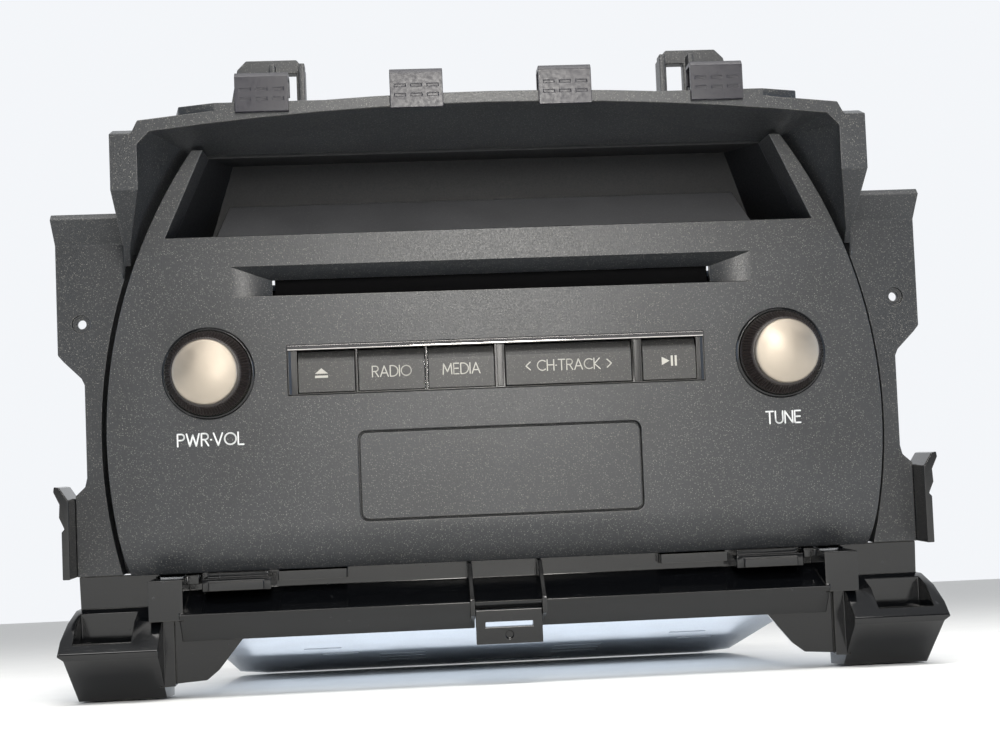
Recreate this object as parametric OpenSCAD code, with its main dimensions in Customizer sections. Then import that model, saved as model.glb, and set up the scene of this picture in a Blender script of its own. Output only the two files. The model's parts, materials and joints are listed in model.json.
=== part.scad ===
// Car radio with a slot-loading disc player, in the trim carrier that clips into a dashboard.
// Every piece is drawn in the face frame: origin midway between the two knob axes on the face
// panel's front plane, +X to the right, +Y back into the dashboard, +Z up.  place() then tips
// the whole radio so that it rests on its feet and on the rear bottom edge of its chassis.

/* [Face panel] */
// Width of the face panel at its widest point
face_w = 216.6; // [200:0.2:260]
// Height of the face panel above the knob axes
face_high = 62.4; // [58:0.2:75]
// Depth of the face panel below the knob axes
face_low = 55; // [52:0.5:66]
// Radius of the panel's bowed sides
face_side_r = 140; // [120:1:180]
// Height of the widest point below the knob axes
face_side_drop = 18; // [10:1:26]
// Thickness of the panel's front skin
face_wall = 2.6; // [2:0.1:3.4]
// Depth of the panel's side walls
face_deep = 14; // [13:0.1:17]
// Radius of the bottom edge, where the panel rolls back
face_roll_r = 20; // [16:0.5:26]
// Height of the bottom edge that rolls back
face_roll_h = 12; // [8:0.5:14]

/* [Display pocket] */
// Height of the pocket's lower edge above the knob axes
pocket_low = 38; // [36:0.5:44]
// Width of each pillar beside the pocket at its foot
pillar_low_w = 5.8; // [4:0.1:8]
// Width of each pillar at its top
pillar_top_w = 3.2; // [2.5:0.1:5]
// Depth of the pocket behind the face
pocket_deep = 46; // [40:1:56]
// Height of the sloping ledge in the pocket
ledge_h = 13; // [8:0.5:16]
// Wall of the pocket liner
liner_wall = 1.6; // [1.2:0.1:2.4]

/* [Knobs] */
// Distance between the two knob axes
knob_gap = 160; // [150:1:190]
// Diameter of the knurled skirt at its foot
skirt_d = 23.4; // [20:0.2:28.2]
// How far the trim ring reaches past the skirt
ring_w = 1.1; // [0.9:0.1:2]
// Diameter of the metal cap
cap_d = 18; // [15:0.2:19.4]
// How far the cap stands out from the panel
knob_high = 10.4; // [9:0.1:14]
// Diameter of the encoder shafts
shaft_d = 6; // [5:0.5:7]
// Travel of the volume knob when it is pressed
knob_travel = 1.2; // [0.5:0.1:1.4]

/* [Keys] */
// Gap between the key bar and each knob's trim ring
bar_side_gap = 9; // [6:0.5:14]
// Height of the key bar, with its bright strip
bar_h = 13.7; // [12:0.1:16]
// Height of the bright strip along the top of the bar
strip_h = 1.4; // [1:0.1:2]
// Width of the eject key
eject_w = 15.7; // [12:0.1:20]
// Width of the radio key and of the media key
source_w = 18.4; // [14:0.1:22]
// Width of the play key
play_w = 15.1; // [12:0.1:20]
// Gap between two neighbouring keys
key_gap = 1; // [0.9:0.1:1.6]
// Width of each divider beside the rocker
divider_w = 3.2; // [2.6:0.1:4]
// Clearance round each key
key_play = 0.2; // [0.15:0.05:0.3]
// Travel of each key
key_travel = 0.8; // [0.4:0.1:0.9]

/* [Blank plate] */
// Width of the blank plate
blank_w = 78; // [60:1:100]
// Height of the blank plate
blank_h = 23.9; // [18:0.1:28]
// Height of the blank plate's middle below the knob axes
blank_drop = 30; // [28:0.5:36]
// Groove round the blank plate
blank_gap = 0.6; // [0.3:0.1:1]

/* [Disc player] */
// Diameter of the disc
disc_d = 120; // [80:1:124]
// Spare width of the slot
slot_spare = 4.4; // [3:0.1:8]
// Height of the slot
slot_h = 4.6; // [4.2:0.1:6]
// Height of the slot's middle above the knob axes at the panel
slot_z = 25; // [24:0.5:27]
// Width of the ramp at each end of the slot's recess
slot_ramp = 10.8; // [6:0.2:12]
// Height of the slot's recess in the panel
recess_h = 8.6; // [7:0.1:9.4]
// Module of the disc player's gears
gear_module = 0.8; // [0.7:0.05:0.9]

/* [Carrier] */
// Gap between the face panel and the carrier's wings
groove_w = 2.8; // [2:0.1:4]
// How far the upper wings reach past the face panel
wing_reach = 14.4; // [11:0.2:20]
// How far the carrier's neck reaches past the face panel
neck_reach = 7.2; // [6.6:0.1:9]
// How far the lower wings reach past the face panel
lower_reach = 10.5; // [9:0.1:14]
// Thickness of the wings
wing_wall = 3; // [2.4:0.1:4]
// How far the wings lie behind the face
wing_y = 8; // [6:0.5:9]
// How far the hood stands out in front of the face
hood_reach = 20; // [14:0.5:26]
// Rise of the hood's rim above the pocket at the middle
hood_rise = 6.8; // [5:0.2:9]
// Drop of the hood's rim from the middle to its corners
hood_bow = 5.4; // [3:0.2:7]
// Wall of the hood
hood_wall = 3; // [2.4:0.1:4]
// Height of the mounting loops above the hood
loop_h = 22; // [12:0.5:26]
// Width of each mounting loop
loop_w = 21; // [18:0.5:26]
// Distance of the loops from the middle
loop_x = 62; // [56:0.5:70]
// Width of each spring clip on the hood
clip_w = 14.2; // [12:0.2:18]
// Distance of the inner spring clips from the middle
clip_in_x = 20; // [16:0.5:28]

/* [Lower rail and feet] */
// Height of the rail's lower edge below the face panel's edge
rail_drop = 18; // [16:0.5:24]
// Thickness of the rail's walls
rail_wall = 2.2; // [1.6:0.1:3]
// Depth of the feet's soles below the knob axes
foot_low = 88.5; // [84:0.5:96]
// Depth of each foot's sole from front to back
sole_deep = 14; // [10:0.5:20]
// Wall of the feet
foot_wall = 2.4; // [2:0.1:3.2]

/* [Chassis] */
// Width of the chassis
chassis_w = 178; // [172:1:182]
// Height of the chassis
chassis_h = 100; // [96:0.5:104]
// Length of the chassis
chassis_len = 142; // [138:1:172]
// Thickness of the sheet steel
sheet = 1; // [0.8:0.1:1.4]
// Gap between the back of the face panel and the middle of the chassis's front
chassis_gap = 8; // [8:0.5:12]
// Angle by which the chassis slopes down behind the face
chassis_drop = 13; // [10:0.5:14]
// Depth of the heat sink's fins
fin_deep = 12; // [6:0.5:18]
// Radius of the tapped hole in the rear support boss
rear_hole_r = 2.1; // [1.6:0.1:2.6]
// Radius of the locating hole in each wing
wing_hole_r = 1.3; // [1:0.1:2]

/* [Hidden] */
$fn = 64;

// Colours
c_face = "#3b3f44";
c_gloss = "#15171b";
c_dark = "#1b1e24";
c_zinc = "#a5aab2";
c_board = "#1f5a36";
c_steel = "#8d9196";

// Face panel
face_half = face_w / 2;
function face_x(z, grow = 0) = face_half - face_side_r
    + sqrt(pow(face_side_r + grow, 2) - pow(z + face_side_drop, 2));
pocket_x_low = face_x(pocket_low) - pillar_low_w;
pocket_x_top = face_x(face_high) - pillar_top_w;
ring_wall = 1.8;
fit = 0.1;

// Knobs
knob_x = knob_gap / 2;
skirt_r = skirt_d / 2;
ring_r = skirt_r + ring_w;
ring_in_r = skirt_r + 0.2;
ring_sleeve_r = ring_in_r + 0.6;
shaft_r = shaft_d / 2;
shaft_play = 0.05;
rotor_r = shaft_r + 1.8;
skirt_front = -(knob_high - 3.2);
cap_r = cap_d / 2;
dome_rise = 2.2;
dome_r = (pow(cap_r - 0.6, 2) + pow(dome_rise, 2)) / (2 * dome_rise);

// Key bar
bar_half = knob_x - ring_r - bar_side_gap;
bar_top = bar_h / 2;
bar_low = -bar_h / 2;
keys_top = bar_top - strip_h;
end_w = 2.8;
eject_x = -bar_half + end_w;
radio_x = eject_x + eject_w + key_gap;
media_x = radio_x + source_w + key_gap;
rocker_x = media_x + source_w + divider_w;
play_x = bar_half - end_w + 0.5 - play_w;
rocker_w = play_x - divider_w - rocker_x;
rocker_mid = rocker_x + rocker_w / 2;
rocker_y = face_wall + 1.1;
rocker_pin_r = 0.8;
rocker_ribs = [rocker_x + 5, rocker_x + rocker_w - 5];
key_front = -0.4;
key_back = 4.4;
key_rib_y = 7.2;
key_edge = 0.5;

// Board behind the face panel
board_y = face_deep - 1;
board_t = 1.6;
switch_y = key_rib_y + key_travel + 0.3;
board_low = -face_low + 9;
board_high = 13;
board_half = knob_x + 15;

// Disc slot
slot_w = disc_d + slot_spare;
recess_half = slot_w / 2 + slot_ramp;
funnel_deep = 6;
funnel_end_z = slot_z - funnel_deep * tan(chassis_drop);
shutter_y = funnel_deep + 2.2;
shutter_z = funnel_end_z + slot_h / 2 + 0.9;
shutter_h = slot_h + 0.6;
shutter_t = 0.8;
shutter_rod_r = 0.7;
tunnel_half = slot_w / 2 + 1.8;
tunnel_wall = 1.6;
tunnel_back = face_deep + 4;
guide_h = slot_h + 1.8;
guide_half = slot_w / 2 + 0.4;
guide_wall = 1.2;

// Carrier
hood_half = face_x(pocket_low) - 2.2;
hood_mid_z = face_high + hood_rise;
hood_side_z = hood_mid_z - hood_bow;
wing_x = face_half + wing_reach;
neck_x = face_half + neck_reach;
lower_x = face_half + lower_reach;
wing_top = 44.3;
wing_roll = 6.5;
groove_floor_y = face_deep;
hood_edge_z = wing_top + 4;
deck_z = hood_mid_z - 0.6;
deck_back = 20;
deck_t = 2.4;
post_w = 5.5;
clip_out_x = loop_x - 0.8;
clip_xs = [-clip_out_x, -clip_in_x, clip_in_x, clip_out_x];
clip_h = 10;
clip_wall = 1.6;
clip_deep = 6;
dash_gap = 4.4;
dash_rise = 2.6;
dash_w = 3;

// Lower rail
rail_half = 88;
rail_top = -face_low;
rail_low = -face_low - rail_drop;
shelf_y = -8;
recess_y = 8.5;
shelf_back_z = -face_low - 5;
shelf_front_z = -face_low - 10.4;
latch_half = 9.8;
rib_t = 1.2;
foot_in = face_half - 14.1;
foot_out = face_half + 12.4;
gusset_in = foot_in - 22.3;
tray_z = -face_low - 11.7;
tray_front = -12;
sole_y = 2;
foot_edge = 3.5 - foot_low;

// Chassis
chassis_y = face_deep + chassis_gap;
chassis_z = -21;
half_w = chassis_w / 2;
half_h = chassis_h / 2;
disc_z = (slot_z - chassis_z) * cos(chassis_drop) - chassis_y * sin(chassis_drop);
disc_y = 12 + disc_d / 2;

// How the radio stands
function chassis_point(y, z) = [chassis_y + y * cos(chassis_drop) + z * sin(chassis_drop),
    chassis_z - y * sin(chassis_drop) + z * cos(chassis_drop)];
heel = chassis_point(chassis_len, -half_h);
rest_tilt = atan2(-foot_low - heel[1], heel[0] - sole_y);
function tipped(p) = [p[0] * cos(rest_tilt) - p[1] * sin(rest_tilt),
    p[0] * sin(rest_tilt) + p[1] * cos(rest_tilt)];
clip_front = -hood_reach - clip_wall;
clip_top_z = deck_z + clip_h;
front_reach = min([for (p = [[clip_front, clip_top_z], [-hood_reach, hood_mid_z + hood_wall]])
    tipped(p)[0]]);
rear_reach = max([for (z = [-half_h, half_h]) tipped(chassis_point(chassis_len + fin_deep, z))[0]]);
row_mid_y = (front_reach + rear_reach) / 2;
row_floor = tipped([sole_y, -foot_low])[1];

// ---- shared helpers ----

module place() {
    translate([0, -row_mid_y, -row_floor])
        rotate([rest_tilt, 0, 0])
            children();
}

module in_chassis() {
    place()
        translate([0, chassis_y, chassis_z])
            rotate([-chassis_drop, 0, 0])
                children();
}

// A shape drawn in X and Z, from depth y0 to y1
module front_slab(y0, y1) {
    translate([0, y1, 0]) rotate([90, 0, 0]) linear_extrude(y1 - y0) children();
}

// A shape drawn in Y and Z, from x0 to x1
module side_slab(x0, x1) {
    translate([x0, 0, 0]) rotate([90, 0, 90]) linear_extrude(x1 - x0) children();
}

// A shape drawn in X and Y, from z0 to z1
module plan_slab(z0, z1) {
    translate([0, 0, z0]) linear_extrude(z1 - z0) children();
}

// A box from its low corner to its high corner
module block(low, high) {
    translate(low) cube(high - low);
}

module both_sides() {
    children();
    mirror([1, 0, 0]) children();
}

// A rod along X
module rod_x(r, x0, x1) {
    translate([x0, 0, 0]) rotate([0, 90, 0]) cylinder(r = r, h = x1 - x0);
}

// A rod along Y
module rod_y(r, y0, y1) {
    translate([0, y1, 0]) rotate([90, 0, 0]) cylinder(r = r, h = y1 - y0);
}

module rounded(w, h, r) {
    union() {
        square([w - 2 * r, h], center = true);
        square([w, h - 2 * r], center = true);
        for (x = [-w / 2 + r, w / 2 - r], z = [-h / 2 + r, h / 2 - r])
            translate([x, z]) circle(r, $fn = 32);
    }
}

// ---- outlines of the face panel ----

// The panel's outline: two bowed sides, level at top and bottom
module face_outline(grow = 0, low = -face_low, high = face_high) {
    intersection() {
        translate([face_half - face_side_r, -face_side_drop])
            circle(face_side_r + grow, $fn = 180);
        translate([face_side_r - face_half, -face_side_drop])
            circle(face_side_r + grow, $fn = 180);
        translate([-face_w, low]) square([2 * face_w, high - low]);
    }
}

// The pocket's opening, seen from the front
module pocket_outline(grow = 0) {
    polygon([[-pocket_x_low - grow, pocket_low - grow], [pocket_x_low + grow, pocket_low - grow],
        [pocket_x_top + grow, face_high + grow], [-pocket_x_top - grow, face_high + grow]]);
}

// Side view of the panel's body, with its rolled bottom edge
module roll_disc(r) {
    translate([face_roll_r, face_roll_h - face_low]) circle(r);
}

module face_body_side() {
    translate([0, face_roll_h - face_low])
        square([face_deep, face_high + face_low - face_roll_h]);
    intersection() {
        roll_disc(face_roll_r);
        translate([0, -face_low]) square([face_deep, face_roll_h]);
    }
}

module face_skin_side() {
    translate([0, face_roll_h - face_low])
        square([face_wall, face_high + face_low - face_roll_h]);
    intersection() {
        difference() {
            roll_disc(face_roll_r);
            roll_disc(face_roll_r - face_wall);
        }
        translate([0, -face_low]) square([face_deep, face_roll_h]);
    }
}

// The slot's recess narrows from the panel to the slot
module slot_recess() {
    mid = funnel_end_z;
    intersection() {
        side_slab(-recess_half, recess_half)
            polygon([[0, slot_z - recess_h / 2], [-1, slot_z - recess_h / 2],
                [-1, slot_z + recess_h / 2], [0, slot_z + recess_h / 2],
                [funnel_deep, mid + slot_h / 2], [funnel_deep + 0.5, mid + slot_h / 2],
                [funnel_deep + 0.5, mid - slot_h / 2], [funnel_deep, mid - slot_h / 2]]);
        plan_slab(slot_z - 12, slot_z + 12)
            polygon([[-recess_half, -1], [recess_half, -1], [recess_half, 0],
                [slot_w / 2, funnel_deep], [slot_w / 2, funnel_deep + 1],
                [-slot_w / 2, funnel_deep + 1], [-slot_w / 2, funnel_deep],
                [-recess_half, 0]]);
    }
}

// Posts on the panel's back that hold the key board
board_posts = [for (x = [10 - board_half, -46, 46, board_half - 10]) [x, board_low + 5]];

// ---- face panel and its trim ----

module faceplate() {
    color(c_face) place() difference() {
        union() {
            intersection() {
                union() {
                    front_slab(0, face_deep) difference() {
                        face_outline();
                        face_outline(-ring_wall, -face_low + ring_wall, pocket_low - 3);
                        pocket_outline(-0.01);
                    }
                    side_slab(-face_half, face_half) face_skin_side();
                }
                front_slab(-1, face_deep) face_outline();
                side_slab(-face_half, face_half) face_body_side();
            }
            block([-recess_half - 1.6, face_wall - 1, slot_z - recess_h / 2 - 3],
                [recess_half + 1.6, funnel_deep, slot_z + recess_h / 2 + 1.6]);
            block([-tunnel_half - tunnel_wall, funnel_deep - 0.1, funnel_end_z - 6],
                [tunnel_half + tunnel_wall, tunnel_back, shutter_z + 3]);
            for (p = board_posts)
                translate([p[0], 0, p[1]]) rod_y(3, face_wall - 1, board_y);
        }
        block([-tunnel_half, funnel_deep + 0.4, funnel_end_z - 6 + tunnel_wall],
            [tunnel_half, tunnel_back + 1, shutter_z + 3 - tunnel_wall]);
        translate([0, shutter_y, shutter_z])
            rod_x(shutter_rod_r + shaft_play, -tunnel_half - 1, tunnel_half + 1);
        front_slab(-1, face_deep + 1) pocket_outline();
        slot_recess();
        for (x = [-knob_x, knob_x])
            translate([x, 0, 0]) rod_y(ring_sleeve_r + 0.05, -1, face_deep + 1);
        block([-bar_half - fit, -1, bar_low - fit], [bar_half + fit, face_deep, bar_top + fit]);
        front_slab(-1, face_deep) translate([0, -blank_drop])
            rounded(blank_w + 2 * blank_gap, blank_h + 2 * blank_gap, 2.4);
        for (p = board_posts)
            translate([p[0], 0, p[1]]) rod_y(1.1, face_wall + 1, face_deep);
    }
}

module blank_cover() {
    color(c_face) place() translate([0, 0, -blank_drop]) union() {
        front_slab(0, face_wall + 1.4) rounded(blank_w, blank_h, 2);
        front_slab(face_wall, face_wall + 1.4) rounded(blank_w + 5, blank_h + 2.4, 2.4);
    }
}

module key_window(x0, w, play = key_play) {
    block([x0 - play, -2, bar_low + key_edge - play],
        [x0 + w + play, key_back + 4, keys_top - 0.3 + play]);
}

module key_frame() {
    back = face_wall + 1.2;
    color(c_gloss) place() difference() {
        union() {
            block([-bar_half, 0, bar_low], [bar_half, back, keys_top]);
            block([-bar_half - 2, face_wall, bar_low - 1.6], [bar_half + 2, back, bar_top + 1.4]);
            for (x = [rocker_x - divider_w / 2, play_x - divider_w / 2])
                block([x - 0.65, key_front, bar_low + key_edge], [x + 0.65, 1, keys_top - 0.3]);
            block([rocker_mid - 2, face_wall, bar_low - 1.6],
                [rocker_mid + 2, rocker_y + 1.4, bar_top + 1.4]);
            both_sides() plan_slab(bar_low, keys_top)
                polygon([[bar_half, 1], [bar_half, -0.6], [bar_half - 0.3, -0.6],
                    [bar_half - end_w + 0.8, 1]]);
        }
        key_window(eject_x, eject_w);
        key_window(radio_x, source_w);
        key_window(media_x, source_w);
        key_window(rocker_x, rocker_w, key_play + 0.05);
        key_window(play_x, play_w);
        translate([rocker_mid, rocker_y, bar_low - 2])
            cylinder(r = rocker_pin_r + shaft_play, h = bar_h + 4);
    }
}

module chrome_strip() {
    color("#d8dade") place() side_slab(-bar_half, bar_half)
        polygon([[face_wall, keys_top], [-0.7, keys_top], [-0.9, keys_top + 0.3],
            [-0.5, bar_top], [face_wall, bar_top]]);
}

// ---- keys ----

module key_body(x0, w) {
    low = bar_low + key_edge;
    high = keys_top - 0.3;
    side_slab(x0, x0 + w)
        polygon([[key_front, low], [key_front, high - 3.1], [1.8, high], [key_back, high],
            [key_back, low]]);
}

module press_key(x0, w) {
    color(c_dark) place() union() {
        key_body(x0, w);
        block([x0 + w / 2 - 2, key_back - 0.5, -3], [x0 + w / 2 + 2, key_rib_y, 1]);
    }
}

module eject_key() { press_key(eject_x, eject_w); }
module radio_key() { press_key(radio_x, source_w); }
module media_key() { press_key(media_x, source_w); }
module play_key() { press_key(play_x, play_w); }

module track_rocker() {
    color(c_dark) place() union() {
        key_body(rocker_x, rocker_w);
        for (x = rocker_ribs)
            block([x - 2, key_back - 0.5, -3], [x + 2, key_rib_y, 1]);
        translate([rocker_mid, rocker_y, bar_low - 1.4]) cylinder(r = rocker_pin_r, h = bar_h + 2.6);
    }
}

// ---- knobs ----

module knob_rings() {
    color(c_gloss) place() for (x = [-knob_x, knob_x])
        translate([x, 0, 0]) rotate([90, 0, 0]) rotate_extrude()
        polygon([[ring_in_r, -face_wall], [ring_sleeve_r, -face_wall], [ring_sleeve_r, 0],
            [ring_r, 0], [ring_r, 0.5], [ring_r - 0.5, 1], [ring_in_r, 1]]);
}

module knob_skirt(x) {
    bore = shaft_r + 0.01;
    color("#2a2320") place() translate([x, 0, 0]) rotate([90, 0, 0]) rotate_extrude()
        polygon([[bore, -1], [shaft_r + 2, -1], [shaft_r + 2, 3], [skirt_r - 1.6, 3],
            [skirt_r - 1.6, 0.2], [skirt_r, 0.2], [skirt_r, 1.6],
            [cap_r + 1, -skirt_front - 0.6], [cap_r + 0.4, -skirt_front], [bore, -skirt_front]]);
}

module knob_cap(x) {
    color("#c9c2b6") place() translate([x, 0, 0]) rotate([90, 0, 0])
        rotate_extrude() intersection() {
            polygon([[0, -skirt_front], [cap_r, -skirt_front], [cap_r, knob_high - dome_rise],
                [cap_r - 0.6, knob_high - dome_rise + 0.5], [cap_r - 0.6, knob_high + 1],
                [0, knob_high + 1]]);
            union() {
                square([cap_r, knob_high - dome_rise]);
                translate([0, knob_high - dome_r]) circle(dome_r, $fn = 128);
            }
        }
}

module encoder_shaft(x) {
    color(c_steel) place() translate([x, 0, 0])
        rod_y(shaft_r, skirt_front, board_y - 0.6 - knob_travel);
}

module volume_knob_skirt() { knob_skirt(-knob_x); }
module volume_knob_cap() { knob_cap(-knob_x); }
module volume_shaft() { encoder_shaft(-knob_x); }
module tune_knob_skirt() { knob_skirt(knob_x); }
module tune_knob_cap() { knob_cap(knob_x); }
module tune_shaft() { encoder_shaft(knob_x); }

// The rotor turns in its housing; the volume shaft slides through the rotor when pressed
module volume_rotor() {
    color("#e2e0da") place() translate([-knob_x, 0, 0]) difference() {
        rod_y(rotor_r, board_y - 4.6, board_y - 3);
        rod_y(shaft_r + shaft_play, board_y - 5, board_y - 2);
    }
}

module rotary_encoders() {
    color(c_steel) place() for (x = [-knob_x, knob_x]) translate([x, 0, 0]) difference() {
        union() {
            block([-6.5, board_y - 6.5, -6.5], [6.5, board_y, 6.5]);
            rod_y(shaft_r + 1, board_y - 9, board_y - 6);
        }
        rod_y(shaft_r + shaft_play, board_y - 10, board_y - 0.4);
        rod_y(rotor_r + 0.2, board_y - 4.8, board_y - 2.8);
    }
}

// ---- behind the face panel ----

module key_board() {
    color(c_board) place() difference() {
        block([-board_half, board_y, board_low], [board_half, board_y + board_t, board_high]);
        for (p = board_posts)
            translate([p[0], 0, p[1]]) rod_y(1.4, board_y - 1, board_y + 3);
    }
}

switch_xs = concat([eject_x + eject_w / 2, radio_x + source_w / 2, media_x + source_w / 2],
    rocker_ribs, [play_x + play_w / 2]);

module tact_switches() {
    color("#2e2e30") place() for (x = switch_xs) translate([x, 0, -1]) union() {
        block([-3, board_y - 3, -3], [3, board_y, 3]);
        rod_y(1.6, switch_y, board_y - 2.5);
    }
}

module light_guide() {
    low = bar_low - 1.6;
    color("#dfe8ee") place() difference() {
        block([-bar_half - 1, key_back + key_travel + 0.4, low],
            [bar_half + 1, key_back + key_travel + 1.6, bar_top + 1]);
        for (x = switch_xs)
            block([x - 2.6, key_back, -3.6], [x + 2.6, face_deep, 1.6]);
    }
}

module face_screws() {
    color(c_steel) place() for (p = board_posts) translate([p[0], 0, p[1]]) union() {
        rod_y(1.1, board_y - 7, board_y + board_t);
        rod_y(2.6, board_y + board_t, board_y + board_t + 1.7);
    }
}

module ribbon_cable() {
    low = -30;
    t = 0.6;
    start = (board_y + board_t - chassis_y - low * sin(chassis_drop)) / cos(chassis_drop);
    color("#d9d6cc") in_chassis() side_slab(-12, 12)
        polygon([[start, low], [6 - t, low], [6 - t, board_z + 1.6], [6, board_z + 1.6],
            [6, low + t], [start, low + t]]);
}

// ---- display pocket ----

liner_back_low = [face_x(pocket_low) - 12, pocket_low + 2];
liner_back_top = [pocket_x_top - 3.5, face_high + 3.6];
function liner_floor(y) = pocket_low
    + (liner_back_low[1] - pocket_low) * (y - face_deep) / (pocket_deep - face_deep);

module liner_hull(grow, front, back) {
    hull() {
        front_slab(front, front + 0.01) pocket_outline(grow);
        front_slab(back - 0.01, back) polygon([
            [-liner_back_low[0] - grow, liner_back_low[1] - grow],
            [liner_back_low[0] + grow, liner_back_low[1] - grow],
            [liner_back_top[0] + grow, liner_back_top[1] + grow],
            [-liner_back_top[0] - grow, liner_back_top[1] + grow]]);
    }
}

module pocket_liner() {
    color(c_dark) place() difference() {
        liner_hull(liner_wall, face_deep, pocket_deep + liner_wall);
        liner_hull(0, face_deep - 0.01, pocket_deep);
    }
}

module pocket_ledge() {
    front = pocket_deep - 18;
    top_z = pocket_low + ledge_h + 1.8;
    color("#5a5b5e") place() intersection() {
        side_slab(-face_half, face_half) polygon([[front, liner_floor(front) + 0.05],
            [front, liner_floor(front) + 2], [pocket_deep - 3.5, top_z], [pocket_deep, top_z],
            [pocket_deep, liner_floor(pocket_deep) + 0.05]]);
        front_slab(0, pocket_deep + 1) polygon([[-liner_back_low[0] + 3.6, pocket_low],
            [liner_back_low[0] - 3.6, pocket_low], [liner_back_low[0] - 7.4, top_z],
            [7.4 - liner_back_low[0], top_z]]);
    }
}

// ---- carrier frame ----

// The inside of the hood's front rim, with a bowed top and cut corners
module rim_outline(grow, low) {
    half = hood_half - 3;
    polygon(concat([[-hood_half - grow, low], [-hood_half - grow, hood_side_z - 3]],
        [for (i = [-6:6]) let (x = half * i / 6)
            [x * (half + grow) / half, hood_mid_z + grow - hood_bow * pow(i / 6, 2)]],
        [[hood_half + grow, hood_side_z - 3], [hood_half + grow, low]]));
}

module hood_hull(grow, low, back) {
    hull() {
        front_slab(-hood_reach - (grow > 0 ? 0 : 0.5), -hood_reach + 0.1) rim_outline(grow, low);
        front_slab(back, back + 0.1) face_outline(0.4 + grow, low, face_high + 0.2 + grow);
    }
}

// Side view of what the hood and its cheeks fill
module hood_side() {
    polygon([[-hood_reach - 1, hood_edge_z], [-hood_reach, hood_edge_z], [wing_y, 28],
        [wing_y + wing_wall, 28], [wing_y + wing_wall, 90], [-hood_reach - 1, 90]]);
}

module wing_outline() {
    for (s = [0, 1]) mirror([s, 0, 0])
        polygon([[0, -face_low], [lower_x, -face_low], [lower_x, -32.5], [neck_x + 0.6, -30],
            [neck_x, -27.5], [neck_x, -1.5], [neck_x + 0.8, 0.3], [wing_x - 1.5, 5.2],
            [wing_x, 7], [wing_x, wing_top - wing_roll], [face_x(pocket_low) + 5, wing_top - 4],
            [face_x(pocket_low) + 4, face_high + 1], [0, face_high + 1]]);
}

module wing_roll_side() {
    polygon([[wing_y, wing_top - wing_roll - 2.5], [wing_y, wing_top - wing_roll],
        [wing_y - 6, wing_top], [wing_y - 4.5, wing_top + 1.6], [wing_y + 0.6, wing_top + 1.6],
        [wing_y + wing_wall, wing_top - 1], [wing_y + wing_wall, wing_top - wing_roll - 2.5]]);
}

module deck_outline() {
    front = -hood_reach;
    polygon([[-loop_x - 26, 4], [-loop_x - 22, front + 4], [-loop_x - 12, front],
        [loop_x + 12, front], [loop_x + 22, front + 4], [loop_x + 26, 4],
        [loop_x + 24, deck_back], [-loop_x - 24, deck_back]]);
}

module loop_outline() {
    foot = deck_z + 0.5;
    polygon([[-loop_w / 2, foot], [-loop_w / 2, foot + loop_h - 3], [-loop_w / 2 + 2.5, foot + loop_h],
        [loop_w / 2 - 4, foot + loop_h], [loop_w / 2 - 1.4, foot + loop_h - 2.6],
        [loop_w / 2 + 1.6, foot + 4], [loop_w / 2 + 3.4, foot + 1], [loop_w / 2 + 3.4, foot]]);
}

module mounting_loop() {
    foot = deck_z + 0.5;
    translate([loop_x, 0, 0]) difference() {
        union() {
            front_slab(deck_back - 4, deck_back) loop_outline();
            for (x = [-loop_w / 2, -loop_w / 2 + 8.4])
                block([x, deck_back - 8, foot], [x + 1.6, deck_back - 3, foot + loop_h - 2]);
        }
        block([-loop_w / 2 + 2.6, deck_back - 9, foot + 5],
            [-loop_w / 2 + 7.6, deck_back + 1, foot + loop_h - 4]);
    }
}

module carrier_frame() {
    color(c_face) place() difference() {
        union() {
            front_slab(wing_y, wing_y + wing_wall) wing_outline();
            front_slab(wing_y, groove_floor_y + 2)
                face_outline(groove_w + 1.6, -face_low, pocket_low - 2);
            intersection() {
                union() {
                    hood_hull(hood_wall, 26, wing_y + wing_wall - 0.1);
                    both_sides() side_slab(hood_half + 2, hood_half + 2 + post_w)
                        polygon([[-hood_reach, hood_edge_z], [-hood_reach, hood_side_z - 0.4],
                            [-hood_reach + 5, hood_side_z + 1.4],
                            [wing_y + 1, hood_side_z + 1.4], [wing_y + 1, 28], [wing_y, 28]]);
                }
                side_slab(-face_w, face_w) hood_side();
            }
            both_sides() side_slab(hood_half + 4, wing_x) wing_roll_side();
            plan_slab(deck_z, deck_z + deck_t) deck_outline();
            front_slab(wing_y, wing_y + wing_wall)
                polygon([[-loop_x - 20, face_high - 1], [loop_x + 20, face_high - 1],
                    [loop_x + 20, deck_z + 1], [-loop_x - 20, deck_z + 1]]);
            for (x = clip_xs)
                block([x - clip_w / 2 + 2, -hood_reach, deck_z + 1],
                    [x + clip_w / 2 - 2, -hood_reach + 2, clip_top_z - 1.4]);
            both_sides() mounting_loop();
        }
        hood_hull(0, 18, wing_y + wing_wall + 0.2);
        front_slab(-1, groove_floor_y + 3) face_outline(0.4, pocket_low - 4.01, face_high + 0.2);
        front_slab(wing_y - 4, groove_floor_y)
            face_outline(groove_w, -face_low - 1, pocket_low - 4);
        front_slab(groove_floor_y - 1, groove_floor_y + 3)
            face_outline(-6, -face_low - 1, pocket_low - 4);
        both_sides() for (z = flange_zs) translate([flange_x, 0, z]) rod_y(1.6, 0, 40);
        both_sides() translate([face_half + 7.7, 0, 15.6]) union() {
            rod_y(wing_hole_r, 0, wing_y + 5);
            rod_y(2.5, 0, wing_y + 0.8);
        }
    }
}

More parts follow.
